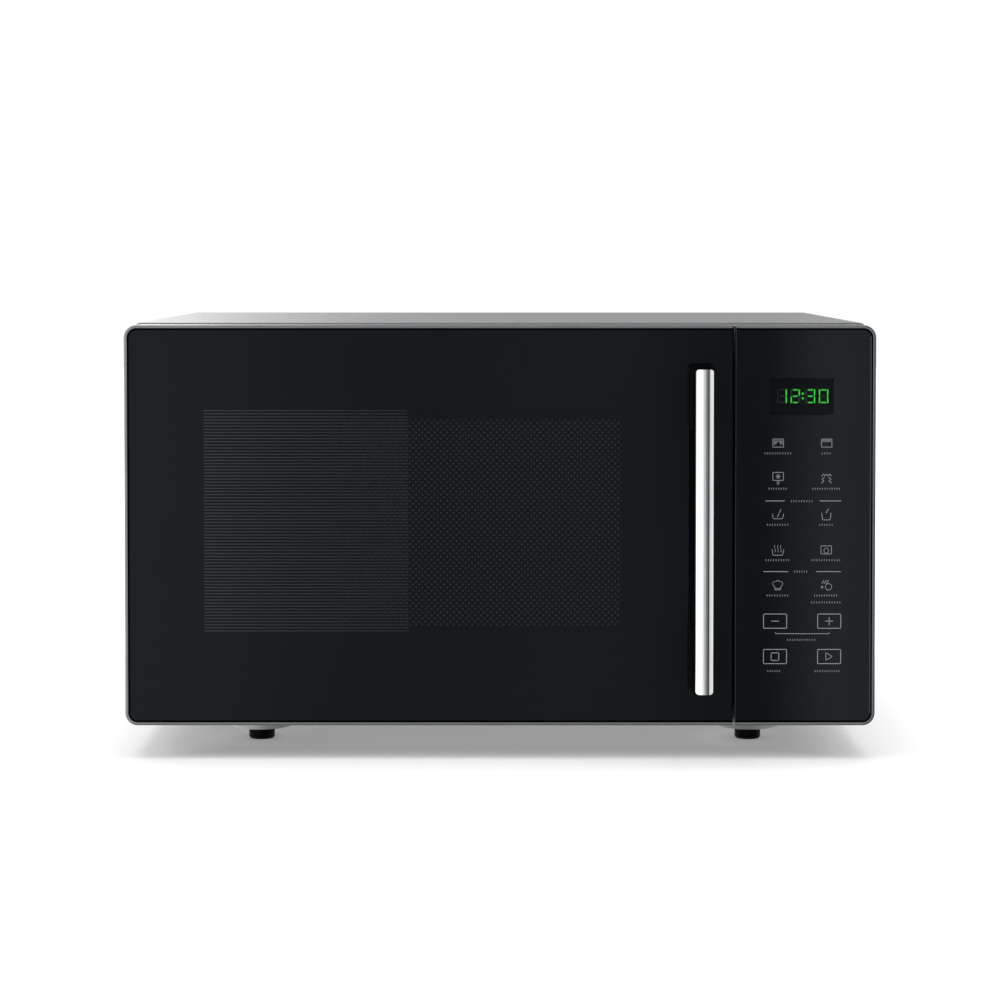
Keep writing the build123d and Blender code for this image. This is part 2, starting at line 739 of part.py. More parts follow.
for number in range(3):
    turn = 120.0 * number
    outward = Vector(cos(radians(turn)), sin(radians(turn)), 0)
    roller_start = Vector(table_x, table_y, roller_z) + outward * (roller_track_r - roller_width / 2)
    with BuildPart() as roller:
        with BuildSketch(Plane(roller_start, z_dir=outward)):
            Circle(roller_r)
            Circle(axle_r + running, mode=Mode.SUBTRACT)
        extrude(amount=roller_width)
        chamfer(roller.edges().filter_by(GeomType.CIRCLE).sort_by(SortBy.RADIUS)[-2:], 1.0)
    roller.part.label = f"roller_{number + 1}"
    export_step(roller.part, f"parts/roller_{number + 1}.step")

# ================= high-voltage and air parts =================
yoke_length = 72.0
yoke_width = 76.0
yoke_height = 88.0
yoke_wall = 2.0
yoke_end = 16.0              # thick end with the filter box
yoke_x = (guide_x[1], guide_x[1] + yoke_length)
yoke_y = grow((magnetron_y, magnetron_y), yoke_width / 2)
yoke_z = grow((magnetron_z, magnetron_z), yoke_height / 2)
fin_first = 16.0
fin_last = 22.0
fin_count = 6
fin_thickness = 1.0
fin_x = (yoke_x[0] + fin_first, yoke_x[1] - fin_last)
anode_r = 20.0
magnet_r = 27.0
magnet_height = 11.0

# Yoke: a steel frame open to the front and back, so that air passes through the fins.
with BuildPart() as magnetron_yoke:
    with BuildSketch(Plane.XZ.offset(-yoke_y[1])):
        outline(yoke_x, yoke_z)
        outline((yoke_x[0] + yoke_wall, yoke_x[1] - yoke_end), grow(yoke_z, -yoke_wall), 0, Mode.SUBTRACT)
    extrude(amount=yoke_y[1] - yoke_y[0])
    with Locations((yoke_x[0], magnetron_y, magnetron_z)):
        Cylinder(antenna_r, 4 * yoke_wall, rotation=(0, 90, 0), mode=Mode.SUBTRACT)
magnetron_yoke.part.label = "magnetron_yoke"
export_step(magnetron_yoke.part, "parts/magnetron_yoke.step")

with BuildPart() as magnetron_core:
    with Locations(Plane((yoke_x[0] + yoke_wall, magnetron_y, magnetron_z), z_dir=(1, 0, 0))):
        Cylinder(anode_r, yoke_length - yoke_end - yoke_wall, align=(Align.CENTER, Align.CENTER, Align.MIN))
        Cylinder(magnet_r, magnet_height, align=(Align.CENTER, Align.CENTER, Align.MIN))
    for fin in range(fin_count):
        near = fin_x[0] + (fin_x[1] - fin_x[0]) * fin / (fin_count - 1)
        block((near, near + fin_thickness), grow(yoke_y, -1.0), grow(yoke_z, -yoke_wall))
magnetron_core.part.label = "magnetron_core"
export_step(magnetron_core.part, "parts/magnetron_core.step")

# Antenna: ceramic stub with its metal cap, inside the waveguide.
with BuildPart() as magnetron_antenna:
    with BuildSketch(Plane.XZ.offset(-magnetron_y)):
        with BuildLine():
            Polyline(
                (yoke_x[0] + yoke_wall, magnetron_z),
                (yoke_x[0] + yoke_wall, magnetron_z + antenna_r),
                (guide_x[1] - 4, magnetron_z + antenna_r),
                (guide_x[1] - 4, magnetron_z + antenna_r - 2),
                (guide_x[1] - 24, magnetron_z + antenna_r - 2),
                (guide_x[1] - 27, magnetron_z + antenna_r - 5),
                (guide_x[1] - 27, magnetron_z),
                close=True,
            )
        make_face()
    revolve(axis=Axis((0, magnetron_y, magnetron_z), (1, 0, 0)))
magnetron_antenna.part.label = "magnetron_antenna"
export_step(magnetron_antenna.part, "parts/magnetron_antenna.step")

# Transformer: an E-shaped iron stack with two windings in its windows, on a foot plate.
core_length = 90.0
core_stack = 62.0
core_height = 80.0
core_foot = 2.0
core_inset = 14.5            # from the right wall
core_front = 18.0
core_x = (inner_wall_x - core_inset - core_length, inner_wall_x - core_inset)
core_y = (core_front, core_front + core_stack)
core_z = (base_top + core_foot, base_top + core_foot + core_height)
core_window_width = 18.0
core_window_height = 46.0
core_limb = 14.0
core_foot_reach = 12.0
winding_overhang = 13.0
window_play = 0.5
with BuildPart() as transformer_core:
    with BuildSketch(Plane.XZ.offset(-core_y[1])):
        outline(core_x, core_z)
        for side in (core_x[0] + core_limb, core_x[1] - core_limb - core_window_width):
            outline(
                (side, side + core_window_width),
                grow(((core_z[0] + core_z[1]) / 2,) * 2, core_window_height / 2),
                0,
                Mode.SUBTRACT,
            )
    extrude(amount=core_y[1] - core_y[0])
    block(core_x, grow(core_y, core_foot_reach), (base_top, base_top + core_foot))
transformer_core.part.label = "transformer_core"
export_step(transformer_core.part, "parts/transformer_core.step")

winding_x = (core_x[0] + core_limb + window_play, core_x[1] - core_limb - window_play)
post_x = (core_x[0] + core_limb + core_window_width, core_x[1] - core_limb - core_window_width)
middle_z = (core_z[0] + core_z[1]) / 2
with BuildPart() as transformer_windings:
    for low, high in (
        (middle_z - core_window_height / 2 + window_play, middle_z - 5.0),
        (middle_z + 3.0, middle_z + core_window_height / 2 - window_play),
    ):
        with BuildSketch(Plane.XY.offset(low)) as coil:
            outline(winding_x, grow(core_y, winding_overhang), 8.0)
            outline(post_x, core_y, 0, Mode.SUBTRACT)
        extrude(amount=high - low)
transformer_windings.part.label = "transformer_windings"
export_step(transformer_windings.part, "parts/transformer_windings.step")

# Capacitor: an oval can with a strap, and its diode lead bridge.
capacitor_inset = 33.5
capacitor_x = inner_wall_x - capacitor_inset
capacitor_y = -38.0
capacitor_width = 50.0
capacitor_depth = 32.0
capacitor_height = 92.0
with BuildPart() as hv_capacitor:
    with BuildSketch(Plane.XY.offset(base_top)):
        with Locations((capacitor_x, capacitor_y)):
            SlotOverall(capacitor_width, capacitor_depth)
    extrude(amount=capacitor_height)
    fillet(hv_capacitor.edges().group_by(Axis.Z)[-1], 2.0)
    with BuildSketch(Plane.XY.offset(base_top + capacitor_height)):
        with Locations((capacitor_x, capacitor_y)):
            with GridLocations(20, 1, 2, 1):
                Circle(5)
    extrude(amount=4)
    with BuildSketch(Plane.XY.offset(base_top + capacitor_height)):
        with Locations((capacitor_x, capacitor_y)):
            with GridLocations(20, 1, 2, 1):
                Rectangle(6, 0.8)
    extrude(amount=12)
hv_capacitor.part.label = "hv_capacitor"
export_step(hv_capacitor.part, "parts/hv_capacitor.step")

diode_r = 4.0
diode_length = 16.0
with BuildPart() as hv_diode:
    with Locations(Plane((capacitor_x - 8, capacitor_y, base_top + capacitor_height + 16), z_dir=(1, 0, 0))):
        Cylinder(diode_r, diode_length, align=(Align.CENTER, Align.CENTER, Align.MIN))
    block(
        (capacitor_x - 10.5, capacitor_x - 9.5),
        (capacitor_y + 0.4, capacitor_y + 1.4),
        (base_top + capacitor_height + 4, base_top + capacitor_height + 16),
    )
    block(
        (capacitor_x - 10.5, capacitor_x - 7.5),
        (capacitor_y + 0.4, capacitor_y + 1.4),
        (base_top + capacitor_height + 15, base_top + capacitor_height + 16),
    )
hv_diode.part.label = "hv_diode"
export_step(hv_diode.part, "parts/hv_diode.step")

# Noise filter: a small board with its coil and fuse, beside the cord inlet.
filter_length = 58.0
filter_width = 40.0
filter_inset = 13.0          # from the cavity's wall
filter_back = 15.0           # from the back panel
filter_rise = 8.0
filter_x = (liner_x[1] + filter_inset, liner_x[1] + filter_inset + filter_length)
filter_y = (back_inner - filter_back - filter_width, back_inner - filter_back)
filter_z = base_top + filter_rise
filter_board = 1.6
filter_post_r = 3.0
filter_post_inset = 4.0
filter_part_height = 12.0
filter_coil_r = 13.0
filter_bore_r = 6.0
filter_coil_place = (18.0, 20.0)
filter_fuse_place = (44.0, 20.0)
filter_fuse = (10.0, 28.0)
with BuildPart() as noise_filter:
    block(filter_x, filter_y, (filter_z, filter_z + filter_board))
    for post_place in zip(grow(filter_x, -filter_post_inset), grow(filter_y, -filter_post_inset)):
        with Locations((post_place[0], post_place[1], base_top)):
            Cylinder(filter_post_r, filter_z - base_top, align=(Align.CENTER, Align.CENTER, Align.MIN))
    with BuildSketch(Plane.XY.offset(filter_z + filter_board)):
        with Locations((filter_x[0] + filter_coil_place[0], filter_y[0] + filter_coil_place[1])):
            Circle(filter_coil_r)
            Circle(filter_bore_r, mode=Mode.SUBTRACT)
        with Locations((filter_x[0] + filter_fuse_place[0], filter_y[0] + filter_fuse_place[1])):
            Rectangle(filter_fuse[0], filter_fuse[1])
    extrude(amount=filter_part_height)
noise_filter.part.label = "noise_filter"
export_step(noise_filter.part, "parts/noise_filter.step")

# Fan: a plastic frame with a round throat, a motor on its spider, and the impeller.
fan_frame_x = (liner_x[1], inner_wall_x - sheet_play)
fan_frame_height = 116.0
fan_frame_depth = 26.0
fan_frame_back = 37.0        # from the back panel
fan_frame_z = grow((fan_z, fan_z), fan_frame_height / 2)
fan_frame_y = (back_inner - fan_frame_back - fan_frame_depth, back_inner - fan_frame_back)
fan_throat_r = 52.0
fan_frame_wall = 2.5
spider_width = 9.0
fan_motor_r = 22.0
fan_motor_length = 24.0
fan_motor_corner = 4.0
fan_cap = (20.0, 30.0)
fan_cap_corner = 3.0
fan_cap_depth = 4.0
fan_cap_offset = 4.0
fan_cap_hole_r = 4.5
fan_motor_y = (fan_frame_y[1], fan_frame_y[1] + fan_motor_length)
with BuildPart() as fan_housing:
    with BuildSketch(Plane.XZ.offset(-fan_frame_y[0] - fan_frame_wall)):
        outline(fan_frame_x, fan_frame_z, 3.0)
        with Locations((fan_x, fan_z)):
            Circle(fan_throat_r, mode=Mode.SUBTRACT)
    extrude(amount=fan_frame_wall)
    with BuildSketch(Plane.XZ.offset(-fan_frame_y[1])):
        with Locations((fan_x, fan_z)):
            Circle(fan_throat_r + fan_frame_wall)
            Circle(fan_throat_r, mode=Mode.SUBTRACT)
    extrude(amount=fan_frame_y[1] - fan_frame_y[0])
    with BuildSketch(Plane.XZ.offset(-fan_frame_y[1])):
        with Locations((fan_x, fan_z)):
            Rectangle(2 * fan_throat_r + 2, spider_width)
            Rectangle(spider_width, 2 * fan_throat_r + 2)
            Circle(fan_motor_r)
            Circle(5.0, mode=Mode.SUBTRACT)
    extrude(amount=fan_frame_wall)
fan_housing.part.label = "fan_housing"
export_step(fan_housing.part, "parts/fan_housing.step")

fan_shaft_r = 2.0
fan_clearance = 2.0
fan_front = fan_frame_y[0] + 1.0
fan_depth = 18.0
with BuildPart() as fan_motor:
    with BuildSketch(Plane.XZ.offset(-fan_motor_y[1])):
        with Locations((fan_x, fan_z)):
            RectangleRounded(2 * fan_motor_r, 2 * fan_motor_r, fan_motor_corner)
            Circle(fan_shaft_r + running, mode=Mode.SUBTRACT)
    extrude(amount=fan_motor_y[1] - fan_motor_y[0])
    with BuildSketch(Plane.XZ.offset(-fan_motor_y[1] - fan_cap_depth)):
        with Locations((fan_x + fan_cap_offset, fan_z)):
            RectangleRounded(fan_cap[0], fan_cap[1], fan_cap_corner)
            with Locations((-fan_cap_offset, 0)):
                Circle(fan_cap_hole_r, mode=Mode.SUBTRACT)
    extrude(amount=fan_cap_depth)
fan_motor.part.label = "fan_motor"
export_step(fan_motor.part, "parts/fan_motor.step")

# Impeller: a hub on its shaft, with blades pitched across the throat.
blade_count = 5
blade_pitch = 32.0
blade_thickness = 1.6
fan_hub_r = 13.0
blade_tip_r = fan_throat_r - fan_clearance
blade_chord = 30.0
fan_middle_y = fan_front + fan_depth / 2
with BuildPart() as fan_impeller:
    with BuildSketch(Plane.XZ.offset(-fan_front - fan_depth)):
        with Locations((fan_x, fan_z)):
            Circle(fan_hub_r)
    extrude(amount=fan_depth)
    fillet(fan_impeller.edges().group_by(Axis.Y)[0], 3.0)
    for blade in range(blade_count):
        turn = 360.0 / blade_count * blade
        outward = Vector(cos(radians(turn)), 0, sin(radians(turn)))
        across = Vector(-sin(radians(turn)), 0, cos(radians(turn)))
        tilted = across * cos(radians(blade_pitch)) + Vector(0, sin(radians(blade_pitch)), 0)
        start = Vector(fan_x, fan_middle_y, fan_z) + outward * (fan_hub_r - 2)
        with BuildSketch(Plane(start, x_dir=tilted, z_dir=outward)):
            with BuildLine():
                camber = ThreePointArc((-blade_chord / 2, 0), (0, 2.4), (blade_chord / 2, 0))
                ThreePointArc(camber @ 1, (0, 2.4 - blade_thickness), camber @ 0)
            make_face()
        extrude(amount=blade_tip_r - fan_hub_r + 2)
    with BuildSketch(Plane.XZ.offset(-fan_motor_y[1] + 2)):
        with Locations((fan_x, fan_z)):
            Circle(fan_shaft_r)
    extrude(amount=fan_motor_y[1] - 2 - fan_front - fan_depth / 2)
    with Locations(Plane((fan_x, fan_front, fan_z), z_dir=(0, 1, 0))):
        Cylinder(
            blade_tip_r,
            fan_motor_y[1] - fan_front,
            align=(Align.CENTER, Align.CENTER, Align.MIN),
            mode=Mode.INTERSECT,
        )
fan_impeller.part.label = "fan_impeller"
export_step(fan_impeller.part, "parts/fan_impeller.step")

# Air duct: leads the air that has cooled the magnetron to the cavity and the lamp.
duct_wall = 1.5
duct_x = (liner_x[1] + 48.0, inner_wall_x - 4.0)
duct_y = (lamp_y - 20.0, yoke_y[0] - 1.0)
duct_z = (yoke_z[0], yoke_z[1])
with BuildPart() as air_duct:
    with BuildSketch(Plane.XY.offset(duct_z[0])):
        with BuildLine():
            Polyline(
                (liner_x[1] + lamp_box_depth + 0.5, duct_y[0]),
                (duct_x[1] - 26, duct_y[0]),
                (duct_x[1], duct_y[0] + 34),
                (duct_x[1], duct_y[1]),
                (guide_x[1] + 0.5, duct_y[1]),
                (guide_x[1] + 0.5, duct_y[1] - 14),
                (liner_x[1] + lamp_box_depth + 0.5, lamp_y + lamp_box / 2 + 2),
                close=True,
            )
        make_face()
    extrude(amount=duct_z[1] - duct_z[0])
    mouth = air_duct.faces().filter_by(Axis.Y).sort_by(Axis.Y)[-1]
    offset(amount=-duct_wall, openings=mouth)
    block(
        (liner_x[1] + lamp_box_depth, liner_x[1] + lamp_box_depth + 3),
        (lamp_y - 12, lamp_y + 12),
        (lamp_z - 26, lamp_z - 20),
        Mode.SUBTRACT,
    )
air_duct.part.label = "air_duct"
export_step(air_duct.part, "parts/air_duct.step")

# ================= door =================
door_x = (door_left, door_right)
front_z = (front_bottom, front_top)
ledge_inset = rim + ledge_width
pane_corner = corner_radius - rim - pane_gap
slit_play = 0.3
handle_x = door_right - handle_right - handle_width / 2
handle_z = (front_bottom + front_top) / 2 - handle_drop
bar_z = (handle_z - handle_length / 2, handle_z + handle_length / 2)
mount_z = (
    (bar_z[0] - mount_overhang, bar_z[0] - mount_overhang + mount_height),
    (bar_z[1] + mount_overhang - mount_height, bar_z[1] + mount_overhang),
)
mount_middle = [(low + high) / 2 for low, high in mount_z]
screw_play = 0.5

# Door frame: a deep moulding with a rim, a seat for the pane and a round edge at the hinge.
with BuildPart() as door_frame:
    with BuildSketch(Plane.XZ.offset(-door_back)) as face:
        moulding_outline(door_x, front_z, corner_radius, slit_corner)
    extrude(amount=door_depth)
    fillet(
        door_frame.edges().filter_by(Axis.Z).group_by(Axis.X)[0].sort_by(Axis.Y)[-1], hinge_edge_round
    )
    with BuildSketch(Plane.XZ.offset(-pane_back)):
        moulding_outline(
            (door_x[0] + rim, door_x[1] - side_rim), grow(front_z, -rim), corner_radius - rim, 0.0, Mode.ADD
        )
    extrude(amount=pane_thickness, mode=Mode.SUBTRACT)
    with BuildSketch(Plane.XZ.offset(-door_back)):
        moulding_outline(
            (door_x[0] + moulding_wall, door_x[1] - moulding_wall),
            grow(front_z, -moulding_wall),
            corner_radius - moulding_wall,
            slit_corner,
        )
    extrude(amount=door_back - ledge_back, mode=Mode.SUBTRACT)
    with BuildSketch(Plane.XZ.offset(-ledge_back)):
        outline((door_x[0] + ledge_inset, door_x[1] - ledge_inset), grow(front_z, -ledge_inset), 3.0)
    extrude(amount=ledge_thickness, mode=Mode.SUBTRACT)
door_frame.part.label = "door_frame"
export_step(door_frame.part, "parts/door_frame.step")

# Door glass: the outer pane, drilled for the two handle screws.
door_pane_x = (door_x[0] + rim + pane_gap, door_x[1] - side_rim - slit_play)
pane_z = grow(front_z, -rim - pane_gap)
with BuildPart() as door_glass:
    with BuildSketch(Plane.XZ.offset(-pane_back)):
        moulding_outline(door_pane_x, pane_z, pane_corner, slit_corner)
        with Locations(*[(handle_x, z) for z in mount_middle]):
            Circle(handle_screw_r + screw_play, mode=Mode.SUBTRACT)
    extrude(amount=pane_thickness)
door_glass.part.label = "door_glass"
export_step(door_glass.part, "parts/door_glass.step")

# Door pan: folded steel with the choke groove, the sealing plateau and a drawn window recess.
pan_x = (door_x[0] + pan_inset_side, door_x[1] - pan_inset_side)
groove_x = (pan_x[0], pan_x[1] - sheet - latch_band)
plateau_x = grow(cavity_x, -plateau_play)
plateau_z = grow(cavity_z, -plateau_play)
seal_y = door_back - plateau_y
pan_front = ledge_back
lip_y = (seal_y - lip_drop - sheet, seal_y - lip_drop)
window_x = (door_x[0] + window_left, door_x[0] + window_left + window_width)
window_z = (front_bottom + window_bottom, front_top - window_top)
recess_x = grow(window_x, window_seat)
recess_z = grow(window_z, window_seat)
seat_y = (seal_y - window_recess, seal_y - window_recess + sheet)
latch_stop_z = hook_z[1] + hook_height + latch_travel + 26.0
latch_stop_depth = 8.0
with BuildPart() as door_pan:
    with BuildSketch(Plane.XZ.offset(-pan_front - sheet)):
        outline(pan_x, pan_z, 2.0)
        outline(grow(plateau_x, -sheet), grow(plateau_z, -sheet), 3.0, Mode.SUBTRACT)
        with Locations(*[(handle_x, z) for z in mount_middle]):
            Circle(handle_screw_r + screw_play, mode=Mode.SUBTRACT)
    extrude(amount=sheet)
    upright_ring((pan_front, lip_y[1]), pan_x, pan_z, sheet, 2.0)
    upright_ring((pan_front, seal_y), plateau_x, plateau_z, sheet, 4.0)
    block((groove_x[1] - sheet, groove_x[1]), (pan_front, lip_y[1]), grow(pan_z, -sheet / 2))
    with BuildSketch(Plane.XZ.offset(-lip_y[1])):
        outline(groove_x, pan_z, 2.0)
        outline(grow(groove_x, -lip_width), grow(pan_z, -lip_width), 2.0, Mode.SUBTRACT)
        slot_span_x = int((groove_x[1] - groove_x[0] - 2 * lip_pitch) / lip_pitch)
        slot_span_z = int((pan_z[1] - pan_z[0] - 2 * lip_pitch) / lip_pitch)
        with Locations(((groove_x[0] + groove_x[1]) / 2, (pan_z[0] + pan_z[1]) / 2)):
            with GridLocations(lip_pitch, pan_z[1] - pan_z[0] - lip_width, slot_span_x, 2):
                Rectangle(lip_slot, lip_width - 2 * sheet, mode=Mode.SUBTRACT)
            with GridLocations(groove_x[1] - groove_x[0] - lip_width, lip_pitch, 2, slot_span_z):
                Rectangle(lip_width - 2 * sheet, lip_slot, mode=Mode.SUBTRACT)
    extrude(amount=sheet)
    with BuildSketch(Plane.XZ.offset(-seal_y)):
        outline(plateau_x, plateau_z, 4.0)
        outline(recess_x, recess_z, 3.0, Mode.SUBTRACT)
    extrude(amount=sheet)
    upright_ring((seat_y[0], seal_y), grow(recess_x, sheet), grow(recess_z, sheet), sheet, 4.0)
    with BuildSketch(Plane.XZ.offset(-seat_y[1])):
        outline(grow(recess_x, sheet), grow(recess_z, sheet), 4.0)
        outline(window_x, window_z, 1.0, Mode.SUBTRACT)
    extrude(amount=sheet)
    block(
        (groove_x[1], pan_x[1] - sheet),
        (pan_front, pan_front + latch_stop_depth),
        (latch_stop_z, latch_stop_z + sheet),
    )
    for eye_z in (pan_z[0], pan_z[1]):
        with Locations((hinge_x, hinge_y, eye_z)):
            Cylinder(bush_r, 4 * sheet, mode=Mode.SUBTRACT)
door_pan.part.label = "door_pan"
export_step(door_pan.part, "parts/door_pan.step")

# Screen: perforated sheet welded to the recess, so that light passes and microwaves do not.
screen_x = grow(window_x, window_seat - 2.0)
screen_z = grow(window_z, window_seat - 2.0)
screen_columns = int(window_width / screen_pitch)
screen_rows = int((window_z[1] - window_z[0]) / screen_pitch)
with BuildPart() as door_screen:
    with BuildSketch(Plane.XZ.offset(-seat_y[0])):
        outline(screen_x, screen_z, 3.0)
        with Locations(((window_x[0] + window_x[1]) / 2, (window_z[0] + window_z[1]) / 2)):
            with GridLocations(screen_pitch, screen_pitch, screen_columns, screen_rows):
                Rectangle(screen_hole, screen_hole, mode=Mode.SUBTRACT)
    extrude(amount=screen_sheet)
door_screen.part.label = "door_screen"
export_step(door_screen.part, "parts/door_screen.step")

# Inner pane and the choke cover round it.
inner_pane_x = grow(plateau_x, -inner_pane_margin)
inner_pane_z = grow(plateau_z, -inner_pane_margin)
with BuildPart() as inner_glass:
    upright((seal_y, seal_y + inner_pane_thickness), inner_pane_x, inner_pane_z, 4.0)
inner_glass.part.label = "inner_glass"
export_step(inner_glass.part, "parts/inner_glass.step")

cover_play = 0.4
cover_y = (seal_y, door_back - cover_play)
cover_x = grow(door_x, -moulding_wall - cover_play)
cover_z = grow(front_z, -moulding_wall - cover_play)
hinge_sweep = 51.0
hook_slot_play = 0.8
hook_slot_end = 1.0
with BuildPart() as choke_cover:
    with BuildSketch(Plane.XZ.offset(-cover_y[1])):
        outline(cover_x, cover_z, 3.0)
        outline(grow(inner_pane_x, slit_play), grow(inner_pane_z, slit_play), 4.3, Mode.SUBTRACT)
        sweep_x = (cover_x[0] - 1, hinge_x + hinge_sweep)
        outline(sweep_x, (cover_z[0] - 1, pan_z[0]), 0, Mode.SUBTRACT)
        outline(sweep_x, (pan_z[1], cover_z[1] + 1), 0, Mode.SUBTRACT)
        for centre in hook_z:
            outline(
                grow(hook_x, hook_slot_play),
                (centre - hook_tooth - hook_slot_end, centre + hook_height + latch_travel + hook_slot_end),
                mode=Mode.SUBTRACT,
            )
    extrude(amount=cover_y[1] - cover_y[0])
    chamfer(choke_cover.faces().sort_by(Axis.Y)[-1].inner_wires().sort_by(SortBy.LENGTH)[-1].edges(), 1.0)
choke_cover.part.label = "choke_cover"
export_step(choke_cover.part, "parts/choke_cover.step")

# Handle: a bar with a crowned front on two tapered mounts, screwed through the glass.
bar_front = front_y - handle_reach
bar_back = bar_front + handle_section
with BuildPart() as handle_bar:
    with BuildSketch(Plane.XY.offset(bar_z[0])):
        with BuildLine():
            crown = ThreePointArc(
                (handle_x - handle_width / 2, bar_front + handle_bulge),
                (handle_x, bar_front),
                (handle_x + handle_width / 2, bar_front + handle_bulge),
            )
            Polyline(
                crown @ 1,
                (handle_x + handle_width / 2, bar_back),
                (handle_x - handle_width / 2, bar_back),
                crown @ 0,
            )
        make_face()
    extrude(amount=handle_length)
    fillet(handle_bar.edges().filter_by(Axis.Y), handle_end_round)
handle_bar.part.label = "handle_bar"
export_step(handle_bar.part, "parts/handle_bar.step")

for name, (low, high) in zip(("handle_mount_lower", "handle_mount_upper"), mount_z):
    with BuildPart() as handle_mount:
        with BuildSketch(Plane.XZ.offset(-front_y)):
            with Locations((handle_x, (low + high) / 2)):
                RectangleRounded(mount_width, high - low, mount_round)
        with BuildSketch(Plane.XZ.offset(-bar_back)):
            with Locations((handle_x, (low + high) / 2)):
                RectangleRounded(mount_tip_width, mount_tip_height, mount_round)
        loft()
        with Locations(Plane((handle_x, front_y, (low + high) / 2), z_dir=(0, 1, 0))):
            Hole(handle_screw_r, depth=handle_screw_depth)
    handle_mount.part.label = name
    export_step(handle_mount.part, f"parts/{name}.step")

with BuildPart() as handle_screws:
    for z in mount_middle:
        with Locations(Plane((handle_x, pan_front + sheet, z), z_dir=(0, 1, 0))):
            Cylinder(handle_screw_head_r, handle_screw_head, align=(Align.CENTER, Align.CENTER, Align.MIN))
            Cylinder(handle_screw_r, handle_screw_length, align=(Align.CENTER, Align.CENTER, Align.MAX))
        with BuildSketch(Plane.XZ.offset(-pan_front)):
            with Locations((handle_x, z)):
                Circle(handle_screw_head_r)
                Circle(handle_screw_r, mode=Mode.SUBTRACT)
        extrude(amount=pan_front - pane_back)
handle_screws.part.label = "handle_screws"
export_step(handle_screws.part, "parts/handle_screws.step")

# ================= hinge =================
bracket_y = (flange_y + sheet, flange_y + sheet + hinge_plate)
hinge_arm_y = (hinge_y - hinge_eye_r, hinge_y + 1.5)
bracket_x = (hinge_x - 6.0, hinge_arm_x[1] + 4.0)
for name, level, inward in (
    ("hinge_bracket_lower", hinge_plate_z[0], 1),
    ("hinge_bracket_upper", hinge_plate_z[1], -1),
):
    near = level[1] if inward > 0 else level[0]
    upright_z = (level[0], level[0] + hinge_plate_height)
    if inward < 0:
        upright_z = (level[1] - hinge_plate_height, level[1])
    with BuildPart() as hinge_bracket:
        with BuildSketch(Plane.XY.offset(level[0])):
            with Locations((hinge_x, hinge_y)):
                Circle(hinge_eye_r)
            outline((hinge_x, hinge_arm_x[1]), hinge_arm_y)
            outline(hinge_arm_x, (hinge_arm_y[0], bracket_y[1]))
        extrude(amount=hinge_plate)
        fillet(hinge_bracket.edges().filter_by(Axis.Z).sort_by(Axis.X)[-2:].sort_by(Axis.Y)[0], 4.0)
        block(bracket_x, bracket_y, upright_z)
        with BuildSketch(Plane.XY.offset(near)):
            with Locations((hinge_x, hinge_y)):
                Circle(hinge_pin_r)
        extrude(amount=inward * hinge_pin_length)
        pin_end = hinge_bracket.faces().filter_by(Axis.Z).sort_by(Axis.Z)[-1 if inward > 0 else 0]
        chamfer(pin_end.edges(), 0.5)
    hinge_bracket.part.label = name
    export_step(hinge_bracket.part, f"parts/{name}.step")

# Hinge bushes: flanged plastic bearings in the door pan.
with BuildPart() as hinge_bushes:
    for eye_z, inward in ((pan_z[0], 1), (pan_z[1], -1)):
        with BuildSketch(Plane.XY.offset(eye_z)):
            with Locations((hinge_x, hinge_y)):
                Circle(bush_flange_r)
                Circle(hinge_pin_r + hinge_running, mode=Mode.SUBTRACT)
        extrude(amount=-inward * bush_flange)
        with BuildSketch(Plane.XY.offset(eye_z)):
            with Locations((hinge_x, hinge_y)):
                Circle(bush_r)
                Circle(hinge_pin_r + hinge_running, mode=Mode.SUBTRACT)
        extrude(amount=inward * 4.0)
hinge_bushes.part.label = "hinge_bushes"
export_step(hinge_bushes.part, "parts/hinge_bushes.step")

# ================= latch =================
slide_x = (groove_x[1] + slide_play, pan_x[1] - sheet - slide_play)
slide_y = (pan_front + sheet + slide_play, pan_front + sheet + slide_play + slide_depth)
slide_z = (hook_z[0] - 12.0, hook_z[1] + hook_height + 8.0)
tip_y = flange_y + sheet + hook_reach
slide_ramp = 5.0
with BuildPart() as latch_slide:
    block(slide_x, slide_y, slide_z)
    for centre in hook_z:
        with BuildSketch(Plane.YZ.offset(hook_x[0])):
            with BuildLine():
                Polyline(
                    (slide_y[0], centre),
                    (tip_y - hook_tooth_length, centre),
                    (tip_y - hook_tooth_length, centre - hook_tooth),
                    (tip_y - hook_tooth_length + 2, centre - hook_tooth),
                    (tip_y, centre + slide_ramp),
                    (tip_y - 3, centre + hook_height),
                    (slide_y[0], centre + hook_height),
                    close=True,
                )
            make_face()
        extrude(amount=hook_thickness)
latch_slide.part.label = "latch_slide"
export_step(latch_slide.part, "parts/latch_slide.step")

# Latch spring: a light coil between the slide and its stop on the door pan.
spring_wire = 0.7
spring_r = 3.0
spring_turns = 6
spring_z = (slide_z[1] + 0.6, latch_stop_z - 0.6)
spring_x = (slide_x[0] + slide_x[1]) / 2
spring_y = (slide_y[0] + slide_y[1]) / 2 + 0.6
with BuildPart() as latch_spring:
    spring_height = spring_z[1] - spring_z[0] - 2 * spring_wire
    with BuildLine(Plane((spring_x, spring_y, spring_z[0] + spring_wire))) as coil_path:
        Helix(pitch=spring_height / spring_turns, height=spring_height, radius=spring_r)
    with BuildSketch(Plane(coil_path.line @ 0, z_dir=coil_path.line % 0)):
        RegularPolygon(spring_wire, 6)
    sweep(path=coil_path.line, is_frenet=True)
latch_spring.part.label = "latch_spring"
export_step(latch_spring.part, "parts/latch_spring.step")

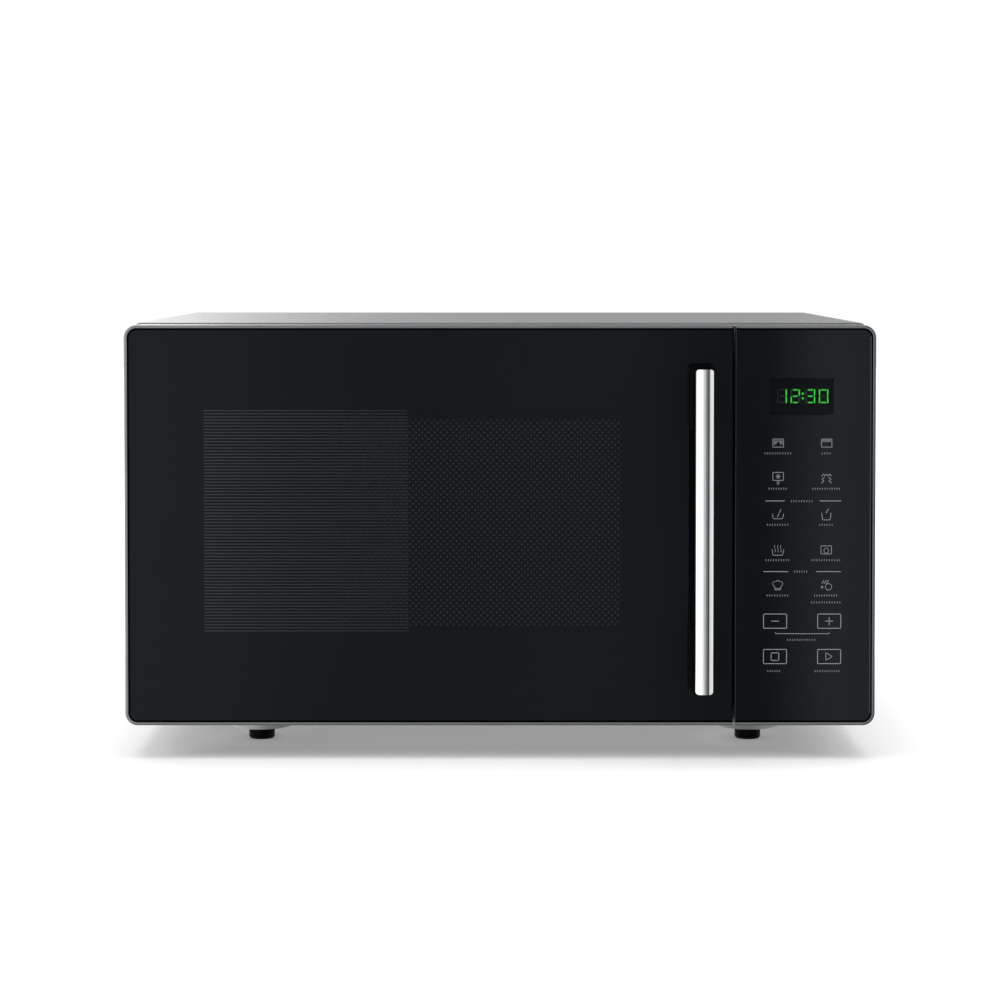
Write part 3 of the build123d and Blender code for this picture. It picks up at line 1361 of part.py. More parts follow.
# Latch board: holds the two catches and the interlock switches behind the flange.
board_play = 0.8             # beside the hooks
board_margin = 18.0          # above and below the hooks
board_behind = 6.0           # behind the hooks' tips
board_rim = 7.0
board_corner = 3.0
board_cut_rise = 40.0        # opening above the lower hook
board_cut_drop = 30.0        # and below the upper one
board_foot_height = 14.0
board_foot_reach = 10.0
catch_height = 8.0
catch_lip = 2.5
catch_ramp = 3.0
catch_front = 4.0
catch_play = 1.0             # ahead of the hooks' teeth
board_x = (hook_slot_x[1] + board_play, hook_slot_x[1] + board_play + latch_wall)
board_y = (flange_y + sheet, tip_y + board_behind)
board_z = (hook_z[0] - board_margin, hook_z[1] + hook_height + board_margin)
catch_y = (flange_y + sheet + catch_front, tip_y - hook_tooth_length - catch_play)
catch_x = (hook_slot_x[0], board_x[1])
with BuildPart() as latch_board:
    with BuildSketch(Plane.YZ.offset(board_x[0])):
        outline(board_y, board_z, board_corner)
        cut_z = (hook_z[0] + board_cut_rise, hook_z[1] - board_cut_drop)
        outline(grow(board_y, -board_rim), cut_z, board_corner, Mode.SUBTRACT)
    extrude(amount=latch_wall)
    for centre in hook_z:
        top = centre - hook_tooth - catch_clearance
        with BuildSketch(Plane.YZ.offset(catch_x[0])):
            with BuildLine():
                Polyline(
                    (catch_y[0], top - catch_height),
                    (catch_y[0], top - catch_lip),
                    (catch_y[0] + catch_ramp, top),
                    (catch_y[1], top),
                    (catch_y[1], top - catch_height),
                    close=True,
                )
            make_face()
        extrude(amount=catch_x[1] - catch_x[0])
    for foot_z in (board_z[0], board_z[1] - board_foot_height):
        block(
            (board_x[0], board_x[1] + board_foot_reach),
            (board_y[0], board_y[0] + latch_wall),
            (foot_z, foot_z + board_foot_height),
        )
latch_board.part.label = "latch_board"
export_step(latch_board.part, "parts/latch_board.step")

# Interlock switches on the latch board, with their plungers pressed.
switch_width = 10.0
switch_depth = 16.0
switch_height = 28.0
switch_back = 2.0            # behind the board's feet
switch_gap = 4.0             # between the two upper switches
switch_y = (board_y[0] + latch_wall + switch_back, board_y[0] + latch_wall + switch_back + switch_depth)
upper_switch = board_z[1] - board_margin - switch_height
switch_bottoms = (board_z[0] + board_margin, upper_switch, upper_switch - switch_gap - switch_height)
with BuildPart() as microswitches:
    for bottom in switch_bottoms:
        block((board_x[1], board_x[1] + switch_width), switch_y, (bottom, bottom + switch_height))
        block(
            (board_x[1] + 3, board_x[1] + 7),
            (switch_y[1], switch_y[1] + 1.5),
            (bottom + 18, bottom + 21),
        )
        for tail in (bottom + 3, bottom + 12, bottom + 23):
            block(
                (board_x[1] + switch_width, board_x[1] + switch_width + 6),
                (switch_y[0] + 6, switch_y[0] + 6.8),
                (tail, tail + 4),
            )
microswitches.part.label = "microswitches"
export_step(microswitches.part, "parts/microswitches.step")

# ================= control panel =================
panel_x = (panel_left, half_width)
with BuildPart() as control_frame:
    with BuildSketch(Plane.XZ.offset(-door_back)):
        moulding_outline(panel_x, front_z, slit_corner, corner_radius)
    extrude(amount=door_depth)
    with BuildSketch(Plane.XZ.offset(-pane_back)):
        seat_x = (panel_x[0] + side_rim, panel_x[1] - rim)
        moulding_outline(seat_x, grow(front_z, -rim), 0.0, corner_radius - rim)
    extrude(amount=pane_thickness, mode=Mode.SUBTRACT)
    with BuildSketch(Plane.XZ.offset(-door_back)):
        moulding_outline(
            (panel_x[0] + moulding_wall, panel_x[1] - moulding_wall),
            grow(front_z, -moulding_wall),
            slit_corner,
            corner_radius - moulding_wall,
        )
    extrude(amount=door_back - ledge_back, mode=Mode.SUBTRACT)
    with BuildSketch(Plane.XZ.offset(-ledge_back)):
        outline((panel_x[0] + ledge_width, panel_x[1] - ledge_inset), grow(front_z, -ledge_inset), 3.0)
    extrude(amount=ledge_thickness, mode=Mode.SUBTRACT)
    post_r = 3.4
    post_sink = 0.6          # posts run into the side walls
    for post_x_place in grow(panel_x, post_sink - moulding_wall - post_r):
        for post_z in (front_z[0] + 12.0, front_z[1] - 12.0):
            with Locations(Plane((post_x_place, ledge_back, post_z), z_dir=(0, 1, 0))):
                Cylinder(post_r, flange_y - ledge_back, align=(Align.CENTER, Align.CENTER, Align.MIN))
control_frame.part.label = "control_frame"
export_step(control_frame.part, "parts/control_frame.step")

control_pane_x = (panel_x[0] + side_rim + slit_play, panel_x[1] - rim - pane_gap)
with BuildPart() as control_glass:
    with BuildSketch(Plane.XZ.offset(-pane_back)):
        moulding_outline(control_pane_x, pane_z, slit_corner, pane_corner)
    extrude(amount=pane_thickness)
control_glass.part.label = "control_glass"
export_step(control_glass.part, "parts/control_glass.step")

# Display: a light box behind the pane, and the board that carries it.
display_width = 40.7
display_height = 23.1
display_right = 26.5         # from the panel's right edge
display_drop = 34.9          # from its upper edge
display_x = (panel_x[1] - display_right - display_width, panel_x[1] - display_right)
display_z = (front_top - display_drop - display_height, front_top - display_drop)
display_wall = 2.0
display_corner = 1.0
display_depth = 8.5
with BuildPart() as display_module:
    upright(
        (pane_back, pane_back + display_depth),
        grow(display_x, display_wall),
        grow(display_z, display_wall),
        display_corner,
    )
    upright((pane_back, pane_back + 1.5), display_x, display_z, 0.0, Mode.SUBTRACT)
display_module.part.label = "display_module"
export_step(display_module.part, "parts/display_module.step")

control_board_y = (pane_back + display_depth, pane_back + display_depth + 1.6)
control_board_x = (panel_x[0] + 8.0, panel_x[1] - 10.0)
control_board_z = (front_z[0] + 17.0, front_z[1] - 17.0)
display_middle = (display_x[0] + display_x[1]) / 2
standoff_half = 20.0           # block that holds the board off the pane
standoff_rise = 37.7           # above the panel's lower edge
standoff_height = 6.0
standoff_z = (front_z[0] + standoff_rise, front_z[0] + standoff_rise + standoff_height)
with BuildPart() as control_board:
    upright(control_board_y, control_board_x, control_board_z, 2.0)
    upright(
        (pane_back, control_board_y[0]),
        (display_middle - standoff_half, display_middle + standoff_half),
        standoff_z,
    )
control_board.part.label = "control_board"
export_step(control_board.part, "parts/control_board.step")

# Parts on the back of the board: left, bottom, width, height and depth from its lower left corner.
relay = (16.7, 30.7, 20.0, 17.0, 16.0)
relay_pitch = 24.0
transformer = (12.7, 90.7, 36.0, 32.0, 20.0)
plug_strip = (18.7, 192.7, 36.0, 10.0, 9.0)
socket_strip = (44.7, 30.7, 8.0, 40.0, 9.0)
board_parts = (relay, (relay[0], relay[1] + relay_pitch, *relay[2:]), transformer, plug_strip, socket_strip)
board_part_corner = 1.0
can_r = 6.0
can_length = 14.0
can_left = 26.7
can_bottom = 140.7
can_pitch = 20.0
with BuildPart() as board_components:
    for left, bottom, wide, high, deep in board_parts:
        start_x = control_board_x[0] + left
        start_z = control_board_z[0] + bottom
        upright(
            (control_board_y[1], control_board_y[1] + deep),
            (start_x, start_x + wide),
            (start_z, start_z + high),
            board_part_corner,
        )
    for can in range(2):
        can_z = control_board_z[0] + can_bottom + can * can_pitch
        with Locations(Plane((control_board_x[0] + can_left, control_board_y[1], can_z), z_dir=(0, 1, 0))):
            Cylinder(can_r, can_length, align=(Align.CENTER, Align.CENTER, Align.MIN))
board_components.part.label = "board_components"
export_step(board_components.part, "parts/board_components.step")
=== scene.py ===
"""Dresses the microwave oven: finishes, printed glass, clock, keypad marks and studio.

Every object is in metres in the part's own frame: X runs to the right of the front,
Y runs away from the viewer and Z runs up from the floor.
"""

from __future__ import annotations

import logging
import math
from dataclasses import dataclass, field
from enum import Enum

import bmesh
import bpy
from mathutils import Matrix, Vector

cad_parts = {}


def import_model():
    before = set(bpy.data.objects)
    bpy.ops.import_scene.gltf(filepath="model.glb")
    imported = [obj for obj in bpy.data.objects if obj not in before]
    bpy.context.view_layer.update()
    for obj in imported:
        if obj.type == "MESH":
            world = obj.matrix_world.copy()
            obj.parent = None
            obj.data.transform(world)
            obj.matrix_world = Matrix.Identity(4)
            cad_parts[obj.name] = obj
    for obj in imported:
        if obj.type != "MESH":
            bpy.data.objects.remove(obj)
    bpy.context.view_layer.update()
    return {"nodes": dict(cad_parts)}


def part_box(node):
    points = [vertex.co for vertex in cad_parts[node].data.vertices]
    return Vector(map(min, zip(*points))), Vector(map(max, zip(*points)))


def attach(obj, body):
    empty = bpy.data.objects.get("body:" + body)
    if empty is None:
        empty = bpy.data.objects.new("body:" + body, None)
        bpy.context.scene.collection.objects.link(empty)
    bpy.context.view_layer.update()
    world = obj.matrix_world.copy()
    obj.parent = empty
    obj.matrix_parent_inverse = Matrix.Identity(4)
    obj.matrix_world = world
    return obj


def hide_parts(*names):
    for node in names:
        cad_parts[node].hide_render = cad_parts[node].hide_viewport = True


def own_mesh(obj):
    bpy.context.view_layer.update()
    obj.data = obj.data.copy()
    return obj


LOG = logging.getLogger("oven")

Colour = tuple[float, float, float]
Point = tuple[float, float]
Vec = tuple[float, float, float]

Socket = bpy.types.NodeSocket
Material = bpy.types.Material
Shape = bmesh.types.BMesh

MM = 0.001
# CRISP also sets the soft edge of the bands of painted shade and painted glint on the glass and the moulding.
CRISP = 0.1 * MM  # fade at the edge of a printed or moulded band
UPRIGHT = Matrix.Rotation(math.pi / 2, 4, "X")  # stands what lies flat up against the front


def toned(colour: Colour, share: float) -> Colour:
    """Gives a colour made darker or lighter, at most white."""
    return tuple(min(1.0, share * level) for level in colour)


class Grain(Enum):
    """How the fine texture of a surface runs."""

    EVEN = (1.0, 1.0, 1.0)
    ALONG_X = (0.03, 1.0, 1.0)
    ALONG_Y = (1.0, 0.03, 1.0)
    ALONG_Z = (1.0, 1.0, 0.03)


class Graph:
    """A node tree, with short ways to add the nodes that finishes share."""

    def __init__(self, owner: Material | bpy.types.World) -> None:
        """Starts an empty tree.

        Args:
            owner: The material or the world that the tree belongs to.
        """
        self.owner = owner
        owner.use_nodes = True
        self.tree = owner.node_tree
        self.tree.nodes.clear()
        self.output = self.node("OutputWorld" if isinstance(owner, bpy.types.World) else "OutputMaterial")

    @classmethod
    def material(cls, name: str) -> Graph:
        """Starts a new material's tree."""
        return cls(bpy.data.materials.new(name))

    def node(self, kind: str, **settings: object) -> bpy.types.Node:
        """Adds a node.

        Args:
            kind: The node's type without the leading ShaderNode.
            **settings: Properties to set on it.

        Returns:
            The new node.
        """
        made = self.tree.nodes.new("ShaderNode" + kind)
        for key, value in settings.items():
            setattr(made, key, value)
        return made

    def link(self, source: Socket, target: Socket) -> None:
        """Joins two sockets."""
        self.tree.links.new(source, target)

    def feed(self, target: Socket, value: object) -> None:
        """Links a socket into the target, or sets the target's own value."""
        if isinstance(value, Socket):
            self.link(value, target)
        else:
            target.default_value = value

    def place(self, stretch: Vec = (1.0, 1.0, 1.0)) -> Socket:
        """Gives the object coordinates.

        Args:
            stretch: How much each axis is scaled.

        Returns:
            The vector socket.
        """
        source = self.node("TexCoord")
        mapping = self.node("Mapping")
        mapping.inputs["Scale"].default_value = stretch
        self.link(source.outputs["Object"], mapping.inputs["Vector"])
        return mapping.outputs["Vector"]

    def axes(self) -> tuple[Socket, Socket, Socket]:
        """Gives the object coordinates as three separate numbers."""
        split = self.node("SeparateXYZ")
        self.link(self.place(), split.inputs["Vector"])
        return split.outputs["X"], split.outputs["Y"], split.outputs["Z"]

    def noise(self, scale: float, stretch: Vec = (1.0, 1.0, 1.0), detail: float = 3.0) -> Socket:
        """Adds fractal noise.

        Args:
            scale: Features per metre.
            stretch: How much each axis is scaled.
            detail: Number of octaves.

        Returns:
            The noise value, about 0.3 to 0.7.
        """
        made = self.node("TexNoise")
        made.inputs["Scale"].default_value = scale
        made.inputs["Detail"].default_value = detail
        self.link(self.place(stretch), made.inputs["Vector"])
        return made.outputs["Fac"]

    def math(self, operation: str, left: object, right: object = 0.0) -> Socket:
        """Adds one sum.

        Args:
            operation: A math node's operation.
            left: A socket or a number.
            right: A socket or a number.

        Returns:
            The result.
        """
        made = self.node("Math", operation=operation)
        self.feed(made.inputs[0], left)
        self.feed(made.inputs[1], right)
        return made.outputs[0]

    def times(self, *values: object) -> Socket:
        """Multiplies sockets or numbers, from the first to the last."""
        made = values[0]
        for value in values[1:]:
            made = self.math("MULTIPLY", made, value)
        return made

    def minus(self, left: object, right: object) -> Socket:
        """Takes the second away from the first."""
        return self.math("SUBTRACT", left, right)

    def plus(self, left: object, right: object) -> Socket:
        """Adds two sockets or numbers."""
        return self.math("ADD", left, right)

    def most(self, left: object, right: object) -> Socket:
        """Gives the larger of two."""
        return self.math("MAXIMUM", left, right)

    def past(self, value: object, middle: float, half: float) -> Socket:
        """Gives how far a value lies beyond half a span on either side of a middle."""
        return self.minus(self.math("ABSOLUTE", self.minus(value, middle)), half)

    def span(self, value: object, low: float, high: float, start: float, end: float) -> Socket:
        """Maps low..high onto start..end and holds it there.

        Args:
            value: The socket to map.
            low: Value that gives start.
            high: Value that gives end.
            start: First result.
            end: Last result.

        Returns:
            The mapped value.
        """
        made = self.node("MapRange")
        self.feed(made.inputs["Value"], value)
        made.inputs["From Min"].default_value = low
        made.inputs["From Max"].default_value = high
        made.inputs["To Min"].default_value = start
        made.inputs["To Max"].default_value = end
        return made.outputs["Result"]

    def spread(self, noise: object, start: float = 0.0, end: float = 1.0) -> Socket:
        """Maps the usual range of a noise onto start..end."""
        return self.span(noise, 0.3, 0.7, start, end)

    def within(self, value: object, low: float, high: float, soft: float = 0.0003) -> Socket:
        """Gives 1 between two values and 0 outside them.

        Args:
            value: The socket to test.
            low: Lower limit.
            high: Upper limit.
            soft: Width of the fade at each limit.

        Returns:
            The mask.
        """
        rise = self.span(value, low - soft, low + soft, 0.0, 1.0)
        fall = self.span(value, high - soft, high + soft, 1.0, 0.0)
        return self.times(rise, fall)

    def mix(self, factor: object, first: object, second: object) -> Socket:
        """Mixes two colours.

        Args:
            factor: 0 for the first, 1 for the second.
            first: A colour socket or an RGB colour.
            second: A colour socket or an RGB colour.

        Returns:
            The mixed colour.
        """
        made = self.node("Mix", data_type="RGBA")
        self.feed(made.inputs[0], factor)
        for target, value in ((made.inputs[6], first), (made.inputs[7], second)):
            self.feed(target, value if isinstance(value, Socket) else (*value, 1.0))
        return made.outputs[2]

    def steps(self, value: object, stops: tuple[Point, ...]) -> Socket:
        """Maps a value along straight runs between stops.

        Args:
            value: The socket to map, 0 to 1.
            stops: Each stop's place and its result, in order.

        Returns:
            The result.
        """
        made = self.node("FloatCurve")
        curve = made.mapping.curves[0]
        made.mapping.use_clip = False
        for index, (place, level) in enumerate(stops):
            if index < 2:
                curve.points[index].location = (place, level)
            else:
                curve.points.new(place, level)
        for point in curve.points:
            point.handle_type = "VECTOR"
        made.mapping.update()
        self.feed(made.inputs["Value"], value)
        return made.outputs["Value"]

    def bump(self, height: object, depth: float) -> Socket:
        """Adds a bump.

        Args:
            height: The height, 0 to 1.
            depth: How far 1 stands out, in metres.

        Returns:
            The normal.
        """
        made = self.node("Bump")
        made.inputs["Distance"].default_value = depth
        self.feed(made.inputs["Height"], height)
        return made.outputs["Normal"]

    def surface(self, **sockets: object) -> bpy.types.Node:
        """Adds the main shader and sets its sockets.

        Args:
            **sockets: Socket names, with underscores for spaces, and what feeds them.

        Returns:
            The shader node.
        """
        shader = self.node("BsdfPrincipled")
        for key, value in sockets.items():
            self.feed(shader.inputs[key.replace("_", " ")], value)
        self.link(shader.outputs[0], self.output.inputs["Surface"])
        return shader


@dataclass(frozen=True)
class Finish:
    """A plain finish: a tone that varies a little, with a fine texture.

    Args:
        name: The material's name.
        colour: Linear base colour.
        metallic: 0 for paint and plastic, 1 for bare metal.
        roughness: Middle roughness.
        uneven: How far the tone drifts, as a share of it.
        patch: Size of that drift in metres.
        texture: Depth of the fine texture in metres.
        pitch: Size of the fine texture in metres.
        grain: Which way it runs.
        coat: Strength of a clear lacquer.
        specular: Strength of the plain reflection.
    """

    name: str
    colour: Colour
    metallic: float = 0.0
    roughness: float = 0.5
    uneven: float = 0.06
    patch: float = 0.04
    texture: float = 0.00004
    pitch: float = 0.0008
    grain: Grain = Grain.EVEN
    coat: float = 0.0
    specular: float = 0.5

    def tones(self, graph: Graph) -> Socket:
        """Gives the drifting base colour."""
        drift = graph.spread(graph.noise(1.0 / self.patch))
        return graph.mix(drift, toned(self.colour, 1.0 - self.uneven), toned(self.colour, 1.0 + self.uneven))

    def relief(self, graph: Graph) -> Socket:
        """Gives the fine texture as a height, 0 to 1."""
        return graph.noise(1.0 / self.pitch, self.grain.value, 2.0)

    def build(self) -> Material:
        """Makes the material."""
        graph = Graph.material(self.name)
        height = self.relief(graph)
        graph.surface(
            Base_Color=self.tones(graph),
            Metallic=self.metallic,
            Roughness=graph.spread(height, self.roughness * 0.88, min(1.0, self.roughness * 1.12)),
            Specular_IOR_Level=self.specular,
            Coat_Weight=self.coat,
            Coat_Roughness=0.12,
            Normal=graph.bump(height, self.texture),
        )
        return graph.owner


@dataclass(frozen=True)
class Speckled(Finish):
    """Enamel or paint with small darker and lighter specks in it.

    Args:
        speck: Size of the specks in metres.
        speck_colour: Their colour.
        share: Share of the surface that they cover.
    """

    speck: float = 0.0012
    speck_colour: Colour = (0.1, 0.1, 0.1)
    share: float = 0.12

    def tones(self, graph: Graph) -> Socket:
        """Gives the base colour with specks."""
        cells = graph.node("TexVoronoi")
        cells.inputs["Scale"].default_value = 1.0 / self.speck
        graph.link(graph.place(), cells.inputs["Vector"])
        near = graph.span(cells.outputs["Distance"], 0.18, 0.3, self.share, 0.0)
        return graph.mix(near, super().tones(graph), self.speck_colour)


@dataclass(frozen=True)
class Wound(Finish):
    """Turns of wire laid side by side.

    Args:
        wire: Pitch of the turns in metres.
        axis: Object axis that the turns are stacked along: 0, 1 or 2.
    """

    wire: float = 0.0012
    axis: int = 2

    def relief(self, graph: Graph) -> Socket:
        """Gives the round backs of the turns."""
        turns = graph.times(graph.axes()[self.axis], math.pi / self.wire)
        return graph.math("ABSOLUTE", graph.math("SINE", turns))


@dataclass(frozen=True)
class Box2:
    """A rectangle seen from the front, in metres.

    Args:
        left: Lowest X.
        right: Highest X.
        bottom: Lowest Z.
        top: Highest Z.
    """

    left: float
    right: float
    bottom: float
    top: float

    def mask(self, graph: Graph, soft: float = 0.0003) -> Socket:
        """Gives 1 inside the rectangle, whatever the depth."""
        across, _, up = graph.axes()
        return graph.times(
            graph.within(across, self.left, self.right, soft), graph.within(up, self.bottom, self.top, soft)
        )


@dataclass(frozen=True)
class Outline:
    """The rounded outline of the whole front.

    Args:
        middle: Height of its middle.
        half: Half of its width and height.
        corner: Radius of its corners.
    """

    middle: float = 0.1513
    half: Point = (0.2415, 0.129)
    corner: float = 0.008

    def inset(self, graph: Graph) -> Socket:
        """Gives how far a place lies inside the outline, seen from the front."""
        across, _, up = graph.axes()
        past = []
        for value, start, half in ((across, 0.0, self.half[0]), (up, self.middle, self.half[1])):
            past.append(graph.past(value, start, half - self.corner))
        squares = [graph.math("POWER", graph.most(value, 0.0), 2.0) for value in past]
        reach = graph.math("SQRT", graph.plus(squares[0], squares[1]))
        straight = graph.math("MINIMUM", graph.most(past[0], past[1]), 0.0)
        return graph.minus(self.corner, graph.plus(reach, straight))


@dataclass(frozen=True)
class PrintedGlass:
    """Black printed glass with a window that shows what is behind it.

    Args:
        name: The material's name.
        window: The clear place.
        tint: How dark the clear place is, 1 for opaque.
        ink: Colour of the print.
        lines: Pitch of the fine lines printed across the window, 0 for none.
        lines_end: X where the lines stop.
        dots: The place that the fine dots fill.
        dots_start: X where the dots are at full strength.
        print_colour: Colour of the lines and dots.
        edge: How far inside the front's outline the pane's dark edge ends: a painted shade next to the moulding,
            where the pane also reflects less.
        edge_shade_colour: Colour of that painted shade.
        ground: The strip at the pane's side edge that is painted bright, a painted glint.
        glint_colour: Colour of that painted glint.
    """

    name: str
    window: Box2
    tint: float = 0.94
    ink: Colour = (0.002, 0.003, 0.0038)
    lines: float = 0.0
    lines_end: float = -0.059
    dots: Box2 = Box2(-0.15, 0.0775, 0.0865, 0.2195)
    dots_start: float = -0.06
    print_colour: Colour = (0.036, 0.039, 0.042)
    edge: float = 0.0032
    edge_shade_colour: Colour = (0.0005, 0.0006, 0.0008)
    ground: Box2 = Box2(0.2379, 0.2386, 0.03, 0.273)
    glint_colour: Colour = (0.05, 0.052, 0.055)

    def pattern(self, graph: Graph) -> Socket:
        """Gives the strength of the lines and dots."""
        across, _, up = graph.axes()
        turn = 2.0 * math.pi / self.lines
        below = graph.minus(up, self.window.top - 0.45 * self.lines)
        wave = graph.math("COSINE", graph.times(below, turn))
        shade = graph.times(
            graph.span(across, self.window.left, self.lines_end, 1.0, 0.5),
            graph.within(across, self.window.left, self.lines_end, 0.0006),
        )
        rows = graph.times(graph.span(wave, -0.2, 0.8, 0.0, 1.0), shade)
        lattice = graph.times(
            graph.math("COSINE", graph.times(across, turn / 2)),
            graph.math("COSINE", graph.times(below, turn / 2)),
        )
        spots = graph.times(
            graph.span(lattice, 0.15, 0.85, 0.0, 0.62),
            graph.span(across, self.dots.left, self.dots_start, 0.0, 1.0),
            self.dots.mask(graph, 0.001),
        )
        return graph.times(graph.most(rows, spots), self.window.mask(graph))

    def build(self) -> Material:
        """Makes the material."""
        graph = Graph.material(self.name)
        inside = self.window.mask(graph)
        colour: object = graph.mix(graph.spread(graph.noise(9.0)), self.ink, toned(self.ink, 1.2))
        alpha = graph.minus(1.0, graph.times(inside, 1.0 - self.tint))
        if self.lines:
            printed = self.pattern(graph)
            colour = graph.mix(printed, colour, self.print_colour)
            alpha = graph.most(alpha, printed)
        # Painted shade: the pane is darker and reflects less in a band along the moulding.
        rim = graph.span(Outline().inset(graph), self.edge - CRISP, self.edge + CRISP, 1.0, 0.0)
        # Painted glint: a thin bright strip along the pane's side edge.
        ground = self.ground.mask(graph, CRISP)
        colour = graph.mix(ground, graph.mix(rim, colour, self.edge_shade_colour), self.glint_colour)
        graph.surface(
            Base_Color=colour,
            Roughness=graph.spread(graph.noise(60.0), 0.03, 0.05),
            Specular_IOR_Level=graph.span(rim, 0.0, 1.0, 0.2, 0.03),
            Specular_Tint=(0.86, 1.0, 1.12, 1.0),
            Alpha=alpha,
        )
        return graph.owner


@dataclass(frozen=True)
class ClearGlass:
    """Clear toughened glass.

    Args:
        name: The material's name.
        tint: Colour of the haze in it.
        clear: How much of the light passes straight through.
    """

    name: str
    tint: Colour = (0.86, 0.93, 0.9)
    clear: float = 0.8

    def build(self) -> Material:
        """Makes the material."""
        graph = Graph.material(self.name)
        height = graph.noise(25.0)
        graph.surface(
            Base_Color=graph.mix(graph.spread(height), self.tint, toned(self.tint, 0.97)),
            Roughness=graph.spread(height, 0.02, 0.05),
            Alpha=1.0 - self.clear,
            Specular_IOR_Level=1.0,
        )
        return graph.owner


@dataclass(frozen=True)
class Glow:
    """A lit or unlit segment of the clock.

    Args:
        name: The material's name.
        colour: Colour of the light.
        strength: How bright it is.
        body: Colour of the segment's own plastic.
    """

    name: str
    colour: Colour
    strength: float
    body: Colour = (0.02, 0.02, 0.02)

    def build(self) -> Material:
        """Makes the material."""
        graph = Graph.material(self.name)
        drift = graph.spread(graph.noise(300.0))
        graph.surface(
            Base_Color=graph.mix(drift, self.body, toned(self.body, 0.9)),
            Roughness=0.6,
            Emission_Color=graph.mix(drift, self.colour, toned(self.colour, 0.92)),
            Emission_Strength=self.strength,
        )
        return graph.owner


@dataclass(frozen=True)
class Moulding(Finish):
    """Silver moulding with a softly rounded rim, with painted shade: black in the groove round the glass and
    along the slit.

    Args:
        rim: Width of the rim.
        front: Y of the rim's face.
        slit: The black painted shade on the door's side of the slit, near the front.
        edge: The dim painted shade on the panel's side of the slit.
        edge_shade_colour: Colour of that dim painted shade.
        groove: How far behind the rim's face the groove's black painted shade starts and ends.
        groove_shade_colour: Colour of the painted shade in the groove and along the slit.
    """

    rim: float = 0.0018
    front: float = -0.17
    slit: Box2 = Box2(0.1494, 0.15145, 0.0239, 0.283)
    edge: Box2 = Box2(0.1513, 0.1534, 0.0239, 0.2787)
    edge_shade_colour: Colour = (0.03, 0.032, 0.035)
    groove: Point = (0.4 * MM, 6.0 * MM)
    groove_shade_colour: Colour = (0.0008, 0.0009, 0.001)

    def build(self) -> Material:
        """Makes the material."""
        graph = Graph.material(self.name)
        inset = Outline().inset(graph)
        _, depth, _ = graph.axes()
        start, end = (self.front + reach for reach in self.groove)
        # Painted shade: black in the groove round the glass and, near the front, along the slit; dim grey on the
        # panel's side of the slit.
        groove = graph.times(
            graph.span(inset, self.rim - 3.0 * CRISP, self.rim - CRISP, 0.0, 1.0), graph.within(depth, start, end)
        )
        near = graph.within(depth, self.front - MM, end)
        black = graph.most(groove, graph.times(self.slit.mask(graph, CRISP), near))
        dim = self.edge.mask(graph, CRISP)
        colour = graph.mix(dim, self.tones(graph), self.edge_shade_colour)
        height = self.relief(graph)
        turn = graph.math("POWER", graph.span(inset, 0.0, self.rim, 1.0, 0.0), 3.0)
        face = graph.span(depth, start - 2.0 * CRISP, start, 1.0, 0.0)
        rounding = graph.times(turn, face, -1.0)
        plain = graph.minus(1.0, graph.most(black, dim))
        graph.surface(
            Base_Color=graph.mix(black, colour, self.groove_shade_colour),
            Metallic=graph.times(plain, self.metallic),
            Roughness=graph.spread(height, self.roughness * 0.9, self.roughness * 1.1),
            Specular_IOR_Level=graph.span(black, 0.0, 1.0, self.specular, 0.02),
            Coat_Weight=graph.times(plain, self.coat),
            Coat_Roughness=0.12,
            Normal=graph.bump(graph.plus(graph.times(height, 0.01), rounding), self.rim * 0.14),
        )
        return graph.owner


AnyFinish = Finish | PrintedGlass | ClearGlass | Glow

PAINT = Speckled(
    "grey_paint", (0.29, 0.295, 0.3), 0.35, 0.3, uneven=0.02, texture=0.00004, pitch=0.0009,
    speck_colour=(0.33, 0.335, 0.34),
)
SILVER = Moulding("silver_moulding", (0.25, 0.26, 0.27), 0.8, 0.17, texture=0.00001, pitch=0.0006, coat=0.2)
ZINC = Speckled(
    "zinc_steel", (0.55, 0.56, 0.57), 1.0, 0.38, uneven=0.04, patch=0.03, speck=0.004,
    speck_colour=(0.6, 0.61, 0.62), share=0.3,
)
BAR = Finish(
    "bar_steel", (0.93, 0.935, 0.94), 1.0, 0.065, uneven=0.02, texture=0.000004, pitch=0.0004,
    grain=Grain.ALONG_Z,
)
BRIGHT = Finish(
    "bright_steel", (0.66, 0.66, 0.66), 1.0, 0.22, texture=0.00001, pitch=0.0005, grain=Grain.ALONG_Z
)
BLACK = Finish("black_plastic", (0.012, 0.012, 0.013), 0.0, 0.42, texture=0.00003, pitch=0.0005)
GLOSS_BLACK = Finish(
    "handle_black", (0.0006, 0.0006, 0.0008), 0.0, 0.22, specular=0.03, texture=0.00001, pitch=0.0006
)
WHITE_PLASTIC = Finish("white_plastic", (0.72, 0.72, 0.70), 0.0, 0.45, texture=0.00003, pitch=0.0006)
RUBBER = Finish(
    "rubber", (0.003, 0.003, 0.0035), 0.0, 0.6, uneven=0.15, texture=0.00006, pitch=0.0007, specular=0.06
)
ENAMEL = Speckled(
    "cavity_enamel", (0.46, 0.46, 0.45), 0.0, 0.3, texture=0.00002, pitch=0.002,
    speck_colour=(0.36, 0.36, 0.36), speck=0.002,
)
PAN = Finish("pan_paint", (0.018, 0.019, 0.02), 0.0, 0.4, texture=0.00003, pitch=0.0008)
CHOKE = Finish("choke_plastic", (0.02, 0.021, 0.023), 0.0, 0.35, texture=0.00003, pitch=0.0007)
ELEMENT = Finish(
    "element_steel", (0.16, 0.15, 0.14), 0.9, 0.42, uneven=0.25, patch=0.02, texture=0.00004, pitch=0.0006
)
MICA = Finish(
    "mica", (0.55, 0.5, 0.4), 0.0, 0.35, uneven=0.18, patch=0.012, texture=0.00003, pitch=0.003, coat=0.3
)
